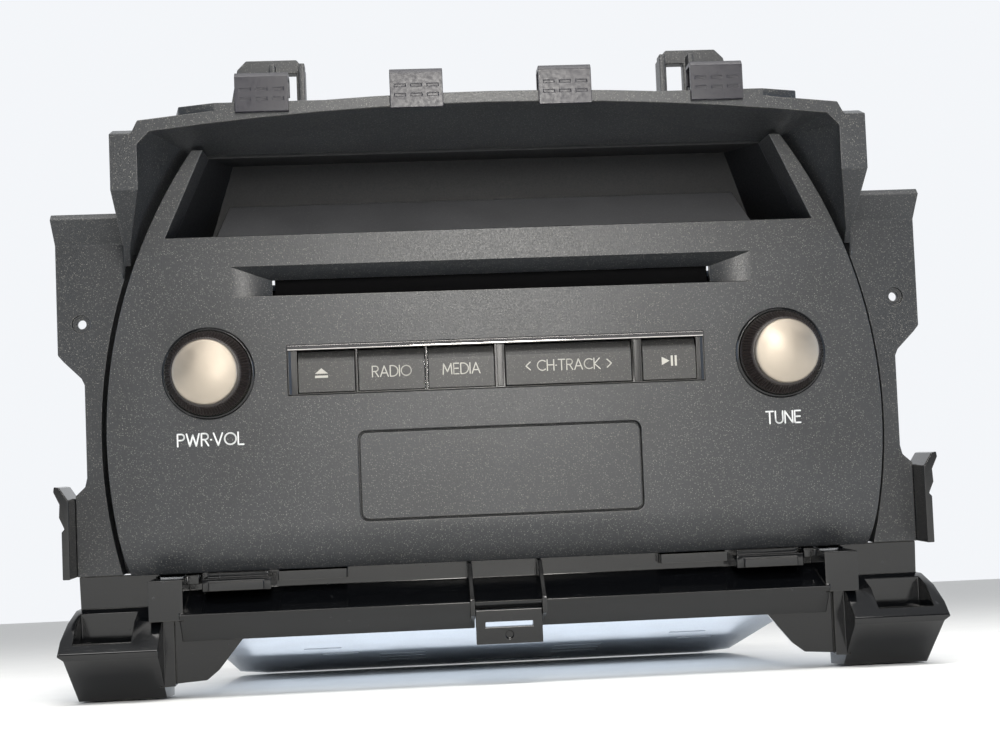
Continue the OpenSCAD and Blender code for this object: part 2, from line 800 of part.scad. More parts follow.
// A folded spring clip with two rows of pressed dashes on its front
module spring_clip() {
    front = -hood_reach - clip_wall;
    back = -hood_reach + clip_deep;
    low = deck_z - 0.6;
    lip = deck_z + deck_t + 2;
    fold = clip_top_z - clip_wall + 0.4;
    difference() {
        side_slab(-clip_w / 2, clip_w / 2)
            polygon([[front, low], [front, fold], [front + 1, clip_top_z], [back - 1, clip_top_z],
                [back, clip_top_z - 1], [back, lip], [back - 1, lip], [back - 1, fold],
                [-hood_reach, fold], [-hood_reach, low]]);
        for (i = [-1, 0, 1], k = [0, 1])
            translate([dash_gap * i, front, low + 3 + dash_rise * k])
                block([-dash_w / 2, -1, 0], [dash_w / 2, 0.3, 0.8]);
    }
}

module top_spring_clips() {
    color("#26243a") place() for (x = clip_xs) translate([x, 0, 0]) spring_clip();
}

module side_clips() {
    x = lower_x;
    color("#141519") place() both_sides() front_slab(-2, wing_y + wing_wall + 2)
        polygon([[x, -55], [x, -33.5], [x + 2.4, -29.8], [x + 3.8, -29.6],
            [x + 4, -31], [x + 2.4, -34.4], [x + 2.6, -38], [x + 1.2, -41.2], [x + 2, -42],
            [x + 2, -55]]);
}

// ---- lower rail ----

// Side view of the rail: a recess, a shelf and a front wall
module rail_side() {
    t = rail_wall;
    polygon([[recess_y, rail_top], [recess_y, shelf_back_z], [shelf_y, shelf_front_z],
        [shelf_y + 6, rail_low], [shelf_y + 6 + t, rail_low + 0.6],
        [shelf_y + t + 0.7, shelf_front_z - 0.9], [recess_y + t, shelf_back_z - 1.4],
        [recess_y + t, rail_top]]);
}

// Side view of a foot, leaning back from its tray to its sole
module foot_side(inset) {
    sole_end = sole_y + sole_deep;
    sole_rise = sole_deep * tan(rest_tilt);
    polygon([[recess_y - 3, -face_low - 9], [-3, tray_z], [tray_front + inset, tray_z - 7.3],
        [tray_front + inset, tray_z - 9], [sole_y + inset * 0.7, -foot_low + inset],
        [sole_end - inset, -foot_low + inset - sole_rise],
        [sole_end + 2 - inset, -face_low - 9]]);
}

module foot_front() {
    polygon([[foot_in, -face_low - 8], [foot_out - 2, -face_low - 8], [foot_out, -face_low - 16],
        [foot_out, tray_z - 8], [foot_out - 1.5, tray_z - 9], [foot_out - 3.5, -foot_low - 12],
        [foot_in, -foot_low - 12]]);
}

module foot() {
    sole_end = sole_y + sole_deep;
    difference() {
        intersection() {
            side_slab(foot_in, foot_out) foot_side(0);
            front_slab(-20, 40) foot_front();
        }
        intersection() {
            side_slab(foot_in + foot_wall, foot_out - 4 - foot_wall)
                polygon([[tray_front + foot_wall + 1, tray_z - 11],
                    [sole_y + foot_wall + 2, 3 - foot_low], [sole_end + 9, 3 - foot_low],
                    [sole_end + 9, tray_z - 7], [0, tray_z - 7]]);
            front_slab(-20, 40) foot_front();
        }
        block([foot_in + 7.5, tray_front + 2.6, tray_z - 6.4], [foot_out - 3.6, 3, tray_z + 6]);
    }
}

module rail_end() {
    t = rail_wall;
    front_slab(wing_y, wing_y + t) polygon([[foot_in + 2, -face_low], [lower_x - 0.5, -face_low],
        [lower_x - 0.8, -face_low - 10.5], [foot_in + 2, -face_low - 10.5]]);
    block([lower_x - 3, wing_y, -face_low - 10.5], [lower_x - 0.8, sole_y + sole_deep, -face_low]);
    block([rail_half, shelf_y + 1, rail_low + 6], [foot_in + 3, recess_y, -face_low - 1]);
    front_slab(0, t) polygon([[gusset_in, rail_low + 1], [gusset_in + 7.7, foot_edge + 3.6],
        [gusset_in + 11, foot_edge + 1], [foot_in + 1, foot_edge + 0.2],
        [foot_in + 1, rail_low + 8], [gusset_in, rail_low + 8]]);
    block([foot_in - 3, -2, foot_edge], [foot_in + 1, sole_y + sole_deep, rail_low + 7]);
}

module lower_rail() {
    bar_z = -face_low - 1.6;
    color(c_gloss) place() difference() {
        union() {
            side_slab(-rail_half - 1, rail_half + 1) rail_side();
            for (x = [-latch_half, latch_half])
                side_slab(x - rib_t / 2, x + rib_t / 2)
                    polygon([[recess_y + 1, -face_low - 0.4], [3, -face_low - 0.4],
                        [shelf_y - 0.6, shelf_front_z + 0.8], [shelf_y - 0.6, rail_low + 4],
                        [shelf_y + 7, rail_low + 1], [recess_y + 1, shelf_back_z]]);
            both_sides() union() {
                rail_end();
                foot();
                for (x = [[44, 63], [84.6, 89]])
                    block([x[0], 3, bar_z - 1.4], [x[1], recess_y + 1, bar_z + 1.2]);
            }
        }
        block([-latch_half + rib_t / 2, shelf_y - 2, rail_low - 1],
            [latch_half - rib_t / 2, 4, shelf_front_z - 2.2]);
    }
}

module lower_snap_clips() {
    color("#101216") place() both_sides() union() {
        block([64.6, -1.5, -face_low - 4.9], [83.4, recess_y, -face_low - 1.4]);
        block([65.6, 3, -face_low - 1.5], [82.4, recess_y, -face_low - 0.05]);
        block([66.5, -3, -face_low - 4.6], [81.5, -1.4, -face_low - 2.2]);
    }
}

module centre_latch() {
    w = latch_half - rib_t / 2 - fit;
    z0 = rail_low - 4;
    color("#24221f") place() difference() {
        union() {
            block([-w, shelf_y + 0.4, z0], [w, shelf_y + 3.4, shelf_front_z - 2.3]);
            block([-w, shelf_y + 0.4, z0 + 6.5], [w, 3.9, z0 + 8.5]);
        }
        block([-w + 2.6, shelf_y - 1, z0 + 4.6], [w - 2.6, shelf_y + 5, z0 + 6]);
        translate([0, 0, z0 + 2.4]) rod_y(1.1, shelf_y - 1, shelf_y + 1.4);
    }
}

// ---- chassis, drawn along its own axis ----

module chassis_plan(inset) {
    cut = 9;
    polygon([[-half_w + inset, inset - 0.01], [half_w - inset, inset - 0.01],
        [half_w - inset, chassis_len - cut], [half_w - cut, chassis_len - inset],
        [cut - half_w, chassis_len - inset], [inset - half_w, chassis_len - cut]]);
}

module chassis_tub() {
    color(c_zinc) in_chassis() difference() {
        union() {
            difference() {
                plan_slab(-half_h, half_h - sheet) chassis_plan(0);
                plan_slab(-half_h + sheet, half_h + 1) chassis_plan(sheet);
                block([-half_w + sheet, -1, -half_h + sheet], [half_w - sheet, sheet + 1, half_h]);
            }
            both_sides() for (y = damper_ys)
                block([deck_x + 1, y - tab_half, plate_z - 8.2],
                    [half_w - sheet / 2, y + tab_half, plate_z - 7]);
            for (p = board_spots)
                translate([p[0], p[1], -half_h]) cylinder(r = 3, h = board_z + half_h);
        }
        for (p = board_spots)
            translate([p[0], p[1], board_z - 5]) cylinder(r = 1.2, h = 6);
        for (x = [-62, 58], k = [0, 1])
            block([x + 5 * k, 72 + 16 * k, -half_h - 1], [x + 12 + 5 * k, 76 + 16 * k, -half_h + 3]);
        for (s = [-1, 1], k = [0:2])
            block([s * 30 - 8, 96 + 9 * k, -half_h - 1], [s * 30 + 8, 98.4 + 9 * k, -half_h + 3]);
        for (s = [-1, 1], k = [0:5])
            block([s * half_w - 3, 24 + 9 * k, 8], [s * half_w + 3, 27 + 9 * k, 30]);
        block([-6, chassis_len - 12, -half_h - 1], [26, chassis_len - 4, -half_h + 3]);
        for (y = bracket_ys) translate([0, y, bracket_z]) rod_x(1.7, -half_w - 2, half_w + 2);
        block([-62, chassis_len - 4, -42], [29, chassis_len + 1, -18]);
    }
}

module top_cover() {
    color(c_zinc) in_chassis() difference() {
        plan_slab(half_h - sheet, half_h) chassis_plan(0);
        for (k = [0:7]) block([-52 + 14 * k, 96, half_h - 3], [-48 + 14 * k, 120, half_h + 1]);
    }
}

module front_chassis_plate() {
    color(c_zinc) in_chassis() difference() {
        block([-half_w + sheet, 0, -half_h + sheet], [half_w - sheet, sheet, half_h - sheet]);
        block([-guide_half, -1, disc_z - guide_h / 2], [guide_half, 3, disc_z + guide_h / 2]);
        block([-14, -1, -34], [14, 3, -26]);
    }
}

fin_gap = 154 / 12;

module rear_heat_sink() {
    y = chassis_len;
    color("#3a3d41") in_chassis() difference() {
        union() {
            block([-78, y, -12], [78, y + 4, half_h - 3]);
            for (k = [0:12]) translate([-78 + fin_gap * k, y, 0])
                block([0, 3, -12], [2, fin_deep, half_h - 3]);
            translate([0, 0, 24]) rod_y(6, y, y + fin_deep);
        }
        translate([0, 0, 24]) rod_y(rear_hole_r, y + fin_deep - 8, y + fin_deep + 1);
    }
}

bracket_t = 1.6;
bracket_x = [half_w, half_w + bracket_t];
flange_y = groove_floor_y + 2;
flange_x = face_half - 4.3;
flange_zs = [-38, -8];
bracket_ys = [18, 58];
bracket_z = -20;

module side_bracket() {
    place() difference() {
        front_slab(flange_y, flange_y + bracket_t)
            polygon([[half_w, -48], [neck_x - 8, -48], [neck_x - 8, 4], [half_w, 4]]);
        for (z = flange_zs) translate([flange_x, 0, z]) rod_y(1.8, 0, 40);
    }
    in_chassis() difference() {
        side_slab(bracket_x[0], bracket_x[1])
            polygon([[2, -30], [72, -30], [72, -10], [2, 22]]);
        for (y = bracket_ys) translate([0, y, bracket_z]) rod_x(1.7, half_w - 2, half_w + 4);
    }
    place() side_slab(bracket_x[0], bracket_x[1])
        polygon([[flange_y, -48], [34, -40], [34, 2], [flange_y, 4]]);
}

module side_bracket_right() { color(c_steel) side_bracket(); }
module side_bracket_left() { color(c_steel) mirror([1, 0, 0]) side_bracket(); }

module bracket_screws() {
    color("#b9bcc0") {
        in_chassis() both_sides() for (y = bracket_ys) translate([0, y, bracket_z]) union() {
            rod_x(1.6, half_w - 5, half_w + bracket_t);
            rod_x(3.2, half_w + bracket_t, half_w + bracket_t + 2);
        }
        place() both_sides() for (z = flange_zs) translate([flange_x, 0, z]) union() {
            rod_y(1.6, face_deep + 0.4, flange_y + bracket_t);
            rod_y(3.2, flange_y + bracket_t, flange_y + bracket_t + 2);
        }
    }
}

// ---- electronics inside the chassis ----

board_z = -half_h + 8;
board_spots = [for (x = [-70, 70], y = [12, chassis_len - 24]) [x, y]];

module main_board() {
    color(c_board) in_chassis() difference() {
        block([-half_w + 4, 3, board_z], [half_w - 4, chassis_len - 14, board_z + 1.6]);
        for (p = board_spots) translate([p[0], p[1], board_z - 1]) cylinder(r = 1.7, h = 4);
    }
}

module tuner_module() {
    tuner_y = chassis_len - 54;
    color(c_zinc) in_chassis()
        block([-76, tuner_y, board_z + 1.6], [-40, tuner_y + 36, board_z + 18]);
}

module amplifier_chip() {
    color("#222428") in_chassis() union() {
        block([34, chassis_len - 18, board_z + 1.6], [68, chassis_len - 13.5, board_z + 28]);
        block([34, chassis_len - 14, board_z + 6], [68, chassis_len - sheet, board_z + 28]);
    }
}

module capacitors() {
    color("#303a5c") in_chassis() for (x = [-20, -4, 12], y = [90, 106])
        translate([x, y, board_z + 1.6]) cylinder(r = 5, h = 16);
}

module rear_connector() {
    y = chassis_len;
    color("#e4e2da") in_chassis() difference() {
        block([-14, y - 18, board_z + 1.6], [26, y + 6, -22]);
        for (x = [-12, 8]) block([x, y - 6, -38], [x + 16, y + 7, -24]);
    }
}

module antenna_sockets() {
    y = chassis_len;
    color("#2c2d30") in_chassis() for (x = [-52, -34]) translate([x, 0, board_z + 6.6]) difference() {
        rod_y(5, y - 18, y + 8);
        rod_y(2.2, y - 4, y + 9);
    }
}

// ---- disc player ----

deck_x = 78;
deck_y0 = 23;
deck_y1 = 130;
damper_ys = [deck_y0 + 17, deck_y1 - 20];
damper_x = deck_x + 5;
tab_half = 6;
damper_spots = [for (x = [-damper_x, damper_x], y = damper_ys) [x, y]];
plate_z = disc_z - 9.5;
sled_x = disc_d / 2 * 0.4;
rod_sled_y = disc_y - 20;
screw_sled_y = disc_y + 22;
rail_z = plate_z + 4.2;
roller_y = 10;
roller_r = 4.5;
roller_z = disc_z - roller_r - 1;
gear_x = slot_w / 2 + 6;
gear_w = 3;
roller_teeth = 15;
drive_teeth = 20;
roller_pitch = roller_teeth * gear_module / 2;
drive_pitch = drive_teeth * gear_module / 2;
drive_z = roller_z - roller_pitch - drive_pitch;

module deck_base() {
    color(c_zinc) in_chassis() difference() {
        union() {
            block([-deck_x, deck_y0, plate_z - 1.2], [deck_x, deck_y1, plate_z]);
            both_sides() union() {
                block([deck_x - 1.2, sheet, plate_z - 14], [deck_x, deck_y1, plate_z + 4]);
                for (y = damper_ys)
                    block([deck_x - 1, y - tab_half, plate_z - 1.2],
                        [half_w - sheet - 0.6, y + tab_half, plate_z]);
                block([42, arm_pivot_y - 4, plate_z - 0.5], [44, arm_pivot_y + 4, arm_z + 0.6]);
                translate([0, arm_pivot_y, arm_z - 1.6]) rod_x(1, 39.6, 42.5);
            }
            block([10, rod_sled_y - 3, plate_z - 0.5], [13.5, rod_sled_y + 3, rail_z + 3]);
            block([10, screw_sled_y - 3, plate_z - 0.5], [12, screw_sled_y + 3, rail_z + 3]);
        }
        block([15.5, rod_sled_y - 4, plate_z - 2], [deck_x - 4, screw_sled_y + 4, plate_z + 1]);
        translate([0, disc_y, plate_z - 3]) cylinder(r = 14.5, h = 6);
        for (p = damper_spots) translate([p[0], p[1], plate_z - 3]) cylinder(r = 3, h = 6);
        both_sides() translate([0, roller_y, roller_z]) rod_x(1.5 + shaft_play, deck_x - 3, deck_x + 2);
        translate([0, screw_sled_y, rail_z]) rod_x(1.2 + shaft_play, 9, 13);
    }
}

module deck_dampers() {
    color("#2b2622") in_chassis() for (p = damper_spots) translate([p[0], p[1], 0]) union() {
        translate([0, 0, plate_z - 7]) cylinder(r = 4.4, h = 5.8);
        translate([0, 0, plate_z - 1.2]) cylinder(r = 2.95, h = 1.2);
        translate([0, 0, plate_z]) cylinder(r = 4.2, h = 1.6);
    }
}

module spindle_motor() {
    color(c_steel) in_chassis() translate([0, disc_y, 0]) union() {
        translate([0, 0, plate_z - 9]) cylinder(r = 12.5, h = 11);
        translate([0, 0, plate_z + 1.9]) cylinder(r = 1, h = disc_z - plate_z - 2);
        block([-16, -4, plate_z - 2.2], [16, 4, plate_z - 1.2]);
    }
}

module turntable() {
    color("#c8cacd") in_chassis() translate([0, disc_y, 0]) difference() {
        union() {
            translate([0, 0, disc_z - 3.6]) cylinder(r = 14, h = 3);
            translate([0, 0, disc_z - 0.7]) cylinder(r = 7.4, h = 1.6);
        }
        translate([0, 0, disc_z - 5]) cylinder(r = 1.05, h = 7);
    }
}

arm_z = disc_z + 3;
arm_pivot_y = 124;

module clamp_arm() {
    color(c_steel) in_chassis() union() {
        difference() {
            plan_slab(arm_z, arm_z + 1.2) polygon([[-41.2, arm_pivot_y - 4], [41.2, arm_pivot_y - 4],
                [20, disc_y + 16], [16, disc_y - 16], [-16, disc_y - 16], [-20, disc_y + 16]]);
            translate([0, disc_y, arm_z - 1]) cylinder(r = 3.1, h = 4);
        }
        both_sides() difference() {
            block([40, arm_pivot_y - 5, arm_z - 4], [41.2, arm_pivot_y + 3, arm_z + 1.2]);
            translate([0, arm_pivot_y, arm_z - 1.6]) rod_x(1.05, 38, 44);
        }
        translate([0, arm_pivot_y - 3.4, arm_z - 1]) block([-41.2, -1, 0], [41.2, 0, 2.2]);
    }
}

module clamp_disc() {
    color("#e6e4de") in_chassis() translate([0, disc_y, 0]) union() {
        translate([0, 0, disc_z + 1]) cylinder(r = 14, h = 1.7);
        translate([0, 0, disc_z + 2.6]) cylinder(r = 3, h = 2.2);
        translate([0, 0, disc_z + 4.7]) cylinder(r = 4.4, h = 0.8);
    }
}

module pickup_sled() {
    color("#3c3f45") in_chassis() difference() {
        union() {
            block([16, rod_sled_y - 3, rail_z - 2.6], [38, screw_sled_y - 4.8, rail_z + 1.6]);
            block([16, screw_sled_y - 5, rail_z - 1.4], [23, screw_sled_y - 1.9, rail_z + 1.4]);
            translate([sled_x + 2, disc_y, rail_z]) cylinder(r = 5, h = 3.6);
            block([17, rod_sled_y - 3.4, rail_z - 3], [37, rod_sled_y + 3.4, rail_z + 3]);
        }
        translate([0, rod_sled_y, rail_z]) rod_x(1.55, 10, 50);
        translate([sled_x + 2, disc_y, rail_z + 2.8]) cylinder(r = 2.4, h = 3);
    }
}

module guide_rod() {
    color("#cfd2d6") in_chassis() translate([0, rod_sled_y, rail_z])
        rod_x(1.5, 13.5, deck_x - 1.2);
}

module lead_screw() {
    color("#cfd2d6") in_chassis() translate([0, screw_sled_y, rail_z]) union() {
        rod_x(1.2, 10, 60);
        for (k = [0:14]) translate([14 + 3 * k, 0, 0]) rod_x(1.7, 0, 1.2);
    }
}

module sled_motor() {
    color(c_steel) in_chassis() translate([0, screw_sled_y, rail_z]) difference() {
        rod_x(4, 59.9, deck_x - 1.2);
        rod_x(1.25, 59, 60.2);
    }
}

module loading_roller() {
    color("#26221f") in_chassis() translate([0, roller_y, roller_z]) union() {
        both_sides() translate([1, 0, 0]) rotate([0, 90, 0])
            cylinder(r1 = roller_r - 1.3, r2 = roller_r, h = slot_w / 2 - 2);
        rod_x(1.5, -deck_x - 0.8, deck_x + 0.8);
    }
}

// A spur gear about X with straight-flanked teeth
module gear(teeth, start) {
    pitch_r = teeth * gear_module / 2;
    root = pitch_r - 0.95 * gear_module;
    tip = pitch_r + 0.75 * gear_module;
    arc = 360 / teeth;
    rotate([90, 0, 90]) linear_extrude(gear_w) polygon([for (i = [0:teeth - 1],
        p = [[root, -0.3], [tip, -0.12], [tip, 0.12], [root, 0.3]])
        let (a = start + arc * (i + p[1] * 0.95)) [p[0] * cos(a), p[0] * sin(a)]]);
}

module roller_gear() {
    color("#e8e6e0") in_chassis() translate([gear_x, roller_y, roller_z]) difference() {
        gear(roller_teeth, -90);
        rod_x(1.51, -1, gear_w + 1);
    }
}

module drive_gear() {
    color("#e8e6e0") in_chassis() translate([gear_x, roller_y, drive_z]) union() {
        gear(drive_teeth, 90 + 180 / drive_teeth);
        rod_x(1.45, -7, gear_w + 1);
    }
}

module loading_motor() {
    color(c_steel) in_chassis() translate([gear_x, roller_y, drive_z]) difference() {
        rod_x(8.4, -28, -4);
        rod_x(1.55, -8, 0);
    }
}

// ---- disc slot ----

module slot_shutter() {
    color("#17181b") place() translate([0, shutter_y, shutter_z]) union() {
        rod_x(shutter_rod_r, -tunnel_half - 0.8, tunnel_half + 0.8);
        block([-slot_w / 2 + 0.6, -shutter_t / 2, -shutter_h], [slot_w / 2 - 0.6, shutter_t / 2, 0]);
    }
}

module slot_guide() {
    y0 = (tunnel_back + 1.8 - chassis_y - disc_z * sin(chassis_drop)) / cos(chassis_drop);
    color("#1d1e21") in_chassis() difference() {
        block([-guide_half - 2.6, y0, disc_z - guide_h / 2 - guide_wall],
            [guide_half + 2.6, -0.05, disc_z + guide_h / 2 + guide_wall]);
        block([-guide_half, y0 - 1, disc_z - guide_h / 2], [guide_half, 1, disc_z + guide_h / 2]);
    }
}

carrier_frame();
lower_rail();
faceplate();
blank_cover();
key_frame();
chrome_strip();
eject_key();
radio_key();
media_key();
track_rocker();
play_key();
knob_rings();
volume_knob_skirt();
volume_knob_cap();
volume_shaft();
volume_rotor();
tune_knob_skirt();
tune_knob_cap();
tune_shaft();
rotary_encoders();
slot_shutter();
slot_guide();
pocket_liner();
pocket_ledge();
top_spring_clips();
side_clips();
lower_snap_clips();
centre_latch();
chassis_tub();
top_cover();
front_chassis_plate();
rear_heat_sink();
side_bracket_left();
side_bracket_right();
bracket_screws();
face_screws();
main_board();
tuner_module();
rear_connector();
antenna_sockets();
amplifier_chip();
capacitors();
key_board();
tact_switches();
light_guide();
ribbon_cable();
deck_base();
deck_dampers();
loading_roller();
roller_gear();
drive_gear();
loading_motor();
spindle_motor();
turntable();
clamp_arm();
clamp_disc();
pickup_sled();
guide_rod();
lead_screw();
sled_motor();
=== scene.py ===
"""Looks of a dashboard car radio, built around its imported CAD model.

The CAD pieces stay where they are.  Each gets the finish of the real part and softened edges.
Pieces whose detail is finer than the CAD model, such as the knurled knobs, the screws and the
printed legends, are built here and ride on the same bodies.
"""

import json
import logging
import math
from dataclasses import dataclass, field
from enum import Enum
from typing import Any, Mapping, Optional, Sequence

import bmesh
import bpy
from mathutils import Matrix, Vector


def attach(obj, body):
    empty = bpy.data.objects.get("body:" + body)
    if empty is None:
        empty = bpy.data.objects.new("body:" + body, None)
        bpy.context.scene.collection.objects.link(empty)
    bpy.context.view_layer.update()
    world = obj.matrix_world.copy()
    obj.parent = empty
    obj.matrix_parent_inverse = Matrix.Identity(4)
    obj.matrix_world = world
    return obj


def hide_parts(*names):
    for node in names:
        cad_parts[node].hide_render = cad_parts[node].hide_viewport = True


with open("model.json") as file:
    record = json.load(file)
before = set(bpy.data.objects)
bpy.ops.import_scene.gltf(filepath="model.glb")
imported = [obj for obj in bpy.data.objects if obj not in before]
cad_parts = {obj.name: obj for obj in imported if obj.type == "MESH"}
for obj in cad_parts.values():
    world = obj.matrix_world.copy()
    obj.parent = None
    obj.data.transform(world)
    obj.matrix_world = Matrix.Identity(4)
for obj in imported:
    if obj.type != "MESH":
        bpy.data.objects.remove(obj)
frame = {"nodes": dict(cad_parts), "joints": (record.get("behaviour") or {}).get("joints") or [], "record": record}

LOG = logging.getLogger("car_radio")
MM = 0.001
# Points of a new piece closer than this, in metres, become one
MERGE_M = 1e-7

Point2 = tuple[float, float]
Point3 = tuple[float, float, float]
Tree = bpy.types.NodeTree
Node = bpy.types.Node
Socket = bpy.types.NodeSocket

# A colour mix's sockets, by number, because its other data types have sockets of the same names
MIX_FACTOR, MIX_FIRST, MIX_SECOND, MIX_RESULT = 0, 6, 7, 2


# ---- frames of reference ----


class Axes:
    """A set of axes fixed to the radio, in millimetres, with a way back to the model's frame."""

    def __init__(self, origin: Vector, right: Vector, inward: Vector) -> None:
        """Keeps the origin and three square axes.

        Args:
            origin: where the axes start, in metres in the model's frame.
            right: the first axis.
            inward: the second axis, which leads into the dashboard.
        """
        self.origin = origin
        self.right = right.normalized()
        self.inward = inward.normalized()
        self.up = self.right.cross(self.inward).normalized()

    def point(self, x: float, y: float, z: float) -> Vector:
        """Returns the model's point, in metres, of a place given in these axes."""
        return self.origin + (self.right * x + self.inward * y + self.up * z) * MM

    def matrix(self) -> Matrix:
        """Returns the placement of something drawn in these axes, in metres."""
        turn = Matrix((self.right, self.inward, self.up)).transposed().to_4x4()
        return Matrix.Translation(self.origin) @ turn

    def extent(self, node: str) -> tuple[Vector, Vector]:
        """Measures a CAD node along these axes.

        Args:
            node: the CAD node's name.

        Returns:
            Its lowest and highest corner, in millimetres.
        """
        spots = [vertex.co - self.origin for vertex in frame["nodes"][node].data.vertices]
        seen = [(s.dot(self.right), s.dot(self.inward), s.dot(self.up)) for s in spots]
        low = Vector([min(values) for values in zip(*seen)]) / MM
        high = Vector([max(values) for values in zip(*seen)]) / MM
        return low, high


def joint(name: str) -> dict[str, Any]:
    """Returns the record's joint of that name."""
    return next(j for j in frame["joints"] if j["name"] == name)


def face_axes() -> Axes:
    """Returns axes on the face panel: origin midway between the knobs, second axis inwards."""
    left, right = (Vector(joint(n)["pos_m"]) for n in ("volume_turn", "tune_turn"))
    return Axes((left + right) / 2, right - left, Vector(joint("tune_turn")["axis"]))


def chassis_axes() -> Axes:
    """Returns axes along the sloping chassis: origin under the disc, at the disc's level."""
    spindle = joint("turntable_spin")
    right = Vector((1.0, 0.0, 0.0))
    return Axes(Vector(spindle["pos_m"]), right, Vector(spindle["axis"]).cross(right))


# ---- finishes ----


def linear(hex_colour: str, alpha: float = 1.0) -> tuple[float, float, float, float]:
    """Turns an sRGB hex colour into linear values.

    Args:
        hex_colour: six hex digits after a hash sign.
        alpha: the fourth value.

    Returns:
        Red, green, blue and alpha.
    """
    values = [int(hex_colour[i:i + 2], 16) / 255 for i in (1, 3, 5)]
    red, green, blue = (v / 12.92 if v <= 0.04045 else ((v + 0.055) / 1.055) ** 2.4 for v in values)
    return red, green, blue, alpha


def add_node(
    tree: Tree, kind: str, settings: Mapping[str | int, Any],
    links: Optional[Mapping[str | int, Socket]] = None,
) -> Node:
    """Adds a shader node, sets it up and links its inputs.

    Args:
        tree: the node tree to add to.
        kind: the node's type name, without the ShaderNode prefix.
        settings: the node's own properties, or its inputs' values by name or number.
        links: output sockets to link, by the input's name or number.

    Returns:
        The new node.
    """
    made = tree.nodes.new("ShaderNode" + kind)
    for name, value in settings.items():
        if isinstance(name, str) and hasattr(made, name):
            setattr(made, name, value)
        else:
            made.inputs[name].default_value = value
    for name, socket in (links or {}).items():
        tree.links.new(socket, made.inputs[name])
    return made


@dataclass(frozen=True)
class Surface:
    """A material while it is built: its nodes, each point's own place in metres, its shader."""

    tree: Tree
    place: Socket
    shader: Node

    def noise(self, size_mm: float, detail: float, place: Optional[Socket] = None) -> Socket:
        """Returns a noise whose lumps are about size_mm across."""
        settings = {"Scale": 1 / (size_mm * MM), "Detail": detail}
        return add_node(self.tree, "TexNoise", settings, {"Vector": place or self.place}).outputs["Fac"]

    def ramp(
        self, value: Socket, low: float, high: float, from_low: float = 0.3, from_high: float = 0.7
    ) -> Socket:
        """Returns the value stretched from from_low to from_high onto low to high."""
        made = add_node(self.tree, "MapRange", {"From Min": from_low, "From Max": from_high,
            "To Min": low, "To Max": high}, {"Value": value})
        return made.outputs["Result"]

    def mix(
        self, first: Optional[Sequence[float]], second: Sequence[float], share: Socket
    ) -> None:
        """Mixes two colours into the base colour.

        Args:
            first: the colour where share is 0, or None for the base colour so far.
            second: the colour where share is 1.
            share: how much of the second colour shows.
        """
        base = self.shader.inputs["Base Color"]
        settings = {"data_type": "RGBA", MIX_SECOND: second}
        links = {MIX_FACTOR: share}
        if first is None:
            links[MIX_FIRST] = base.links[0].from_socket
        else:
            settings[MIX_FIRST] = first
        made = add_node(self.tree, "Mix", settings, links)
        self.tree.links.new(made.outputs[MIX_RESULT], base)

    def paint_edge_highlights(self, colour: str, reach_mm: float) -> None:
        """Paints a highlight along the edges: mixes them towards a paler colour.

        Args:
            colour: the colour of the painted edge highlight.
            reach_mm: how far from the edge the painted highlight reaches.
        """
        rounded = add_node(self.tree, "Bevel", {"samples": 4, "Radius": reach_mm * MM})
        flat = add_node(self.tree, "NewGeometry", {}).outputs["Normal"]
        alike = add_node(self.tree, "VectorMath", {"operation": "DOT_PRODUCT"},
            {0: rounded.outputs["Normal"], 1: flat})
        # Painted highlight: where the rounded normal turns away from the flat one, the colour is mixed paler
        edge_highlight_share = self.ramp(alike.outputs["Value"], 0.75, 0.0, 0.78, 0.98)
        self.mix(None, linear(colour), edge_highlight_share)


@dataclass(frozen=True)
class Finish:
    """A surface's colour and gloss, and the fine grain and broad drift that its making leaves."""

    name: str
    colour: str
    roughness: float
    metallic: float = 0.0
    ior: float = 1.5
    grain_mm: float = 0.6
    grain_depth_mm: float = 0.012
    shade_spread: float = 0.12
    gloss_spread: float = 0.08
    drift_mm: float = 18.0

    def build(self) -> bpy.types.Material:
        """Makes a new material.

        Returns:
            The material, with this finish.
        """
        material = bpy.data.materials.new(self.name)
        material.use_nodes = True
        tree = material.node_tree
        tree.nodes.clear()
        place = add_node(tree, "TexCoord", {}).outputs["Object"]
        shader = add_node(tree, "BsdfPrincipled", {
            "Base Color": linear(self.colour),
            "Roughness": self.roughness,
            "Metallic": self.metallic,
            "IOR": self.ior,
        })
        self.dress(Surface(tree, place, shader))
        add_node(tree, "OutputMaterial", {}, {"Surface": shader.outputs["BSDF"]})
        return material

    def dress(self, surface: Surface) -> None:
        """Adds the pattern: a soft drift of shade, and a fine moulded grain.

        Args:
            surface: the material being built.
        """
        drift = surface.noise(self.drift_mm, 3.0)
        grain = surface.noise(self.grain_mm, 2.0)
        self.vary_shade(surface, drift)
        self.vary_gloss(surface, grain)
        self.emboss(surface, grain)

    def vary_shade(self, surface: Surface, value: Socket) -> None:
        """Lightens and darkens the base colour by shade_spread.

        Args:
            surface: the material being built.
            value: what the shade follows.
        """
        rgb = linear(self.colour)[:3]
        dark = tuple(c * (1 - self.shade_spread) for c in rgb) + (1.0,)
        light = tuple(min(1.0, c * (1 + self.shade_spread)) for c in rgb) + (1.0,)
        surface.mix(dark, light, surface.ramp(value, 0.0, 1.0))

    def vary_gloss(self, surface: Surface, value: Socket) -> None:
        """Raises and lowers the roughness by gloss_spread, following value."""
        low, high = self.roughness - self.gloss_spread, self.roughness + self.gloss_spread
        surface.tree.links.new(surface.ramp(value, low, high), surface.shader.inputs["Roughness"])

    def emboss(self, surface: Surface, height: Socket) -> None:
        """Gives the surface a relief of grain_depth_mm that follows height."""
        bump = add_node(surface.tree, "Bump", {"Strength": 1.0,
            "Distance": self.grain_depth_mm * MM}, {"Height": height})
        surface.tree.links.new(bump.outputs["Normal"], surface.shader.inputs["Normal"])


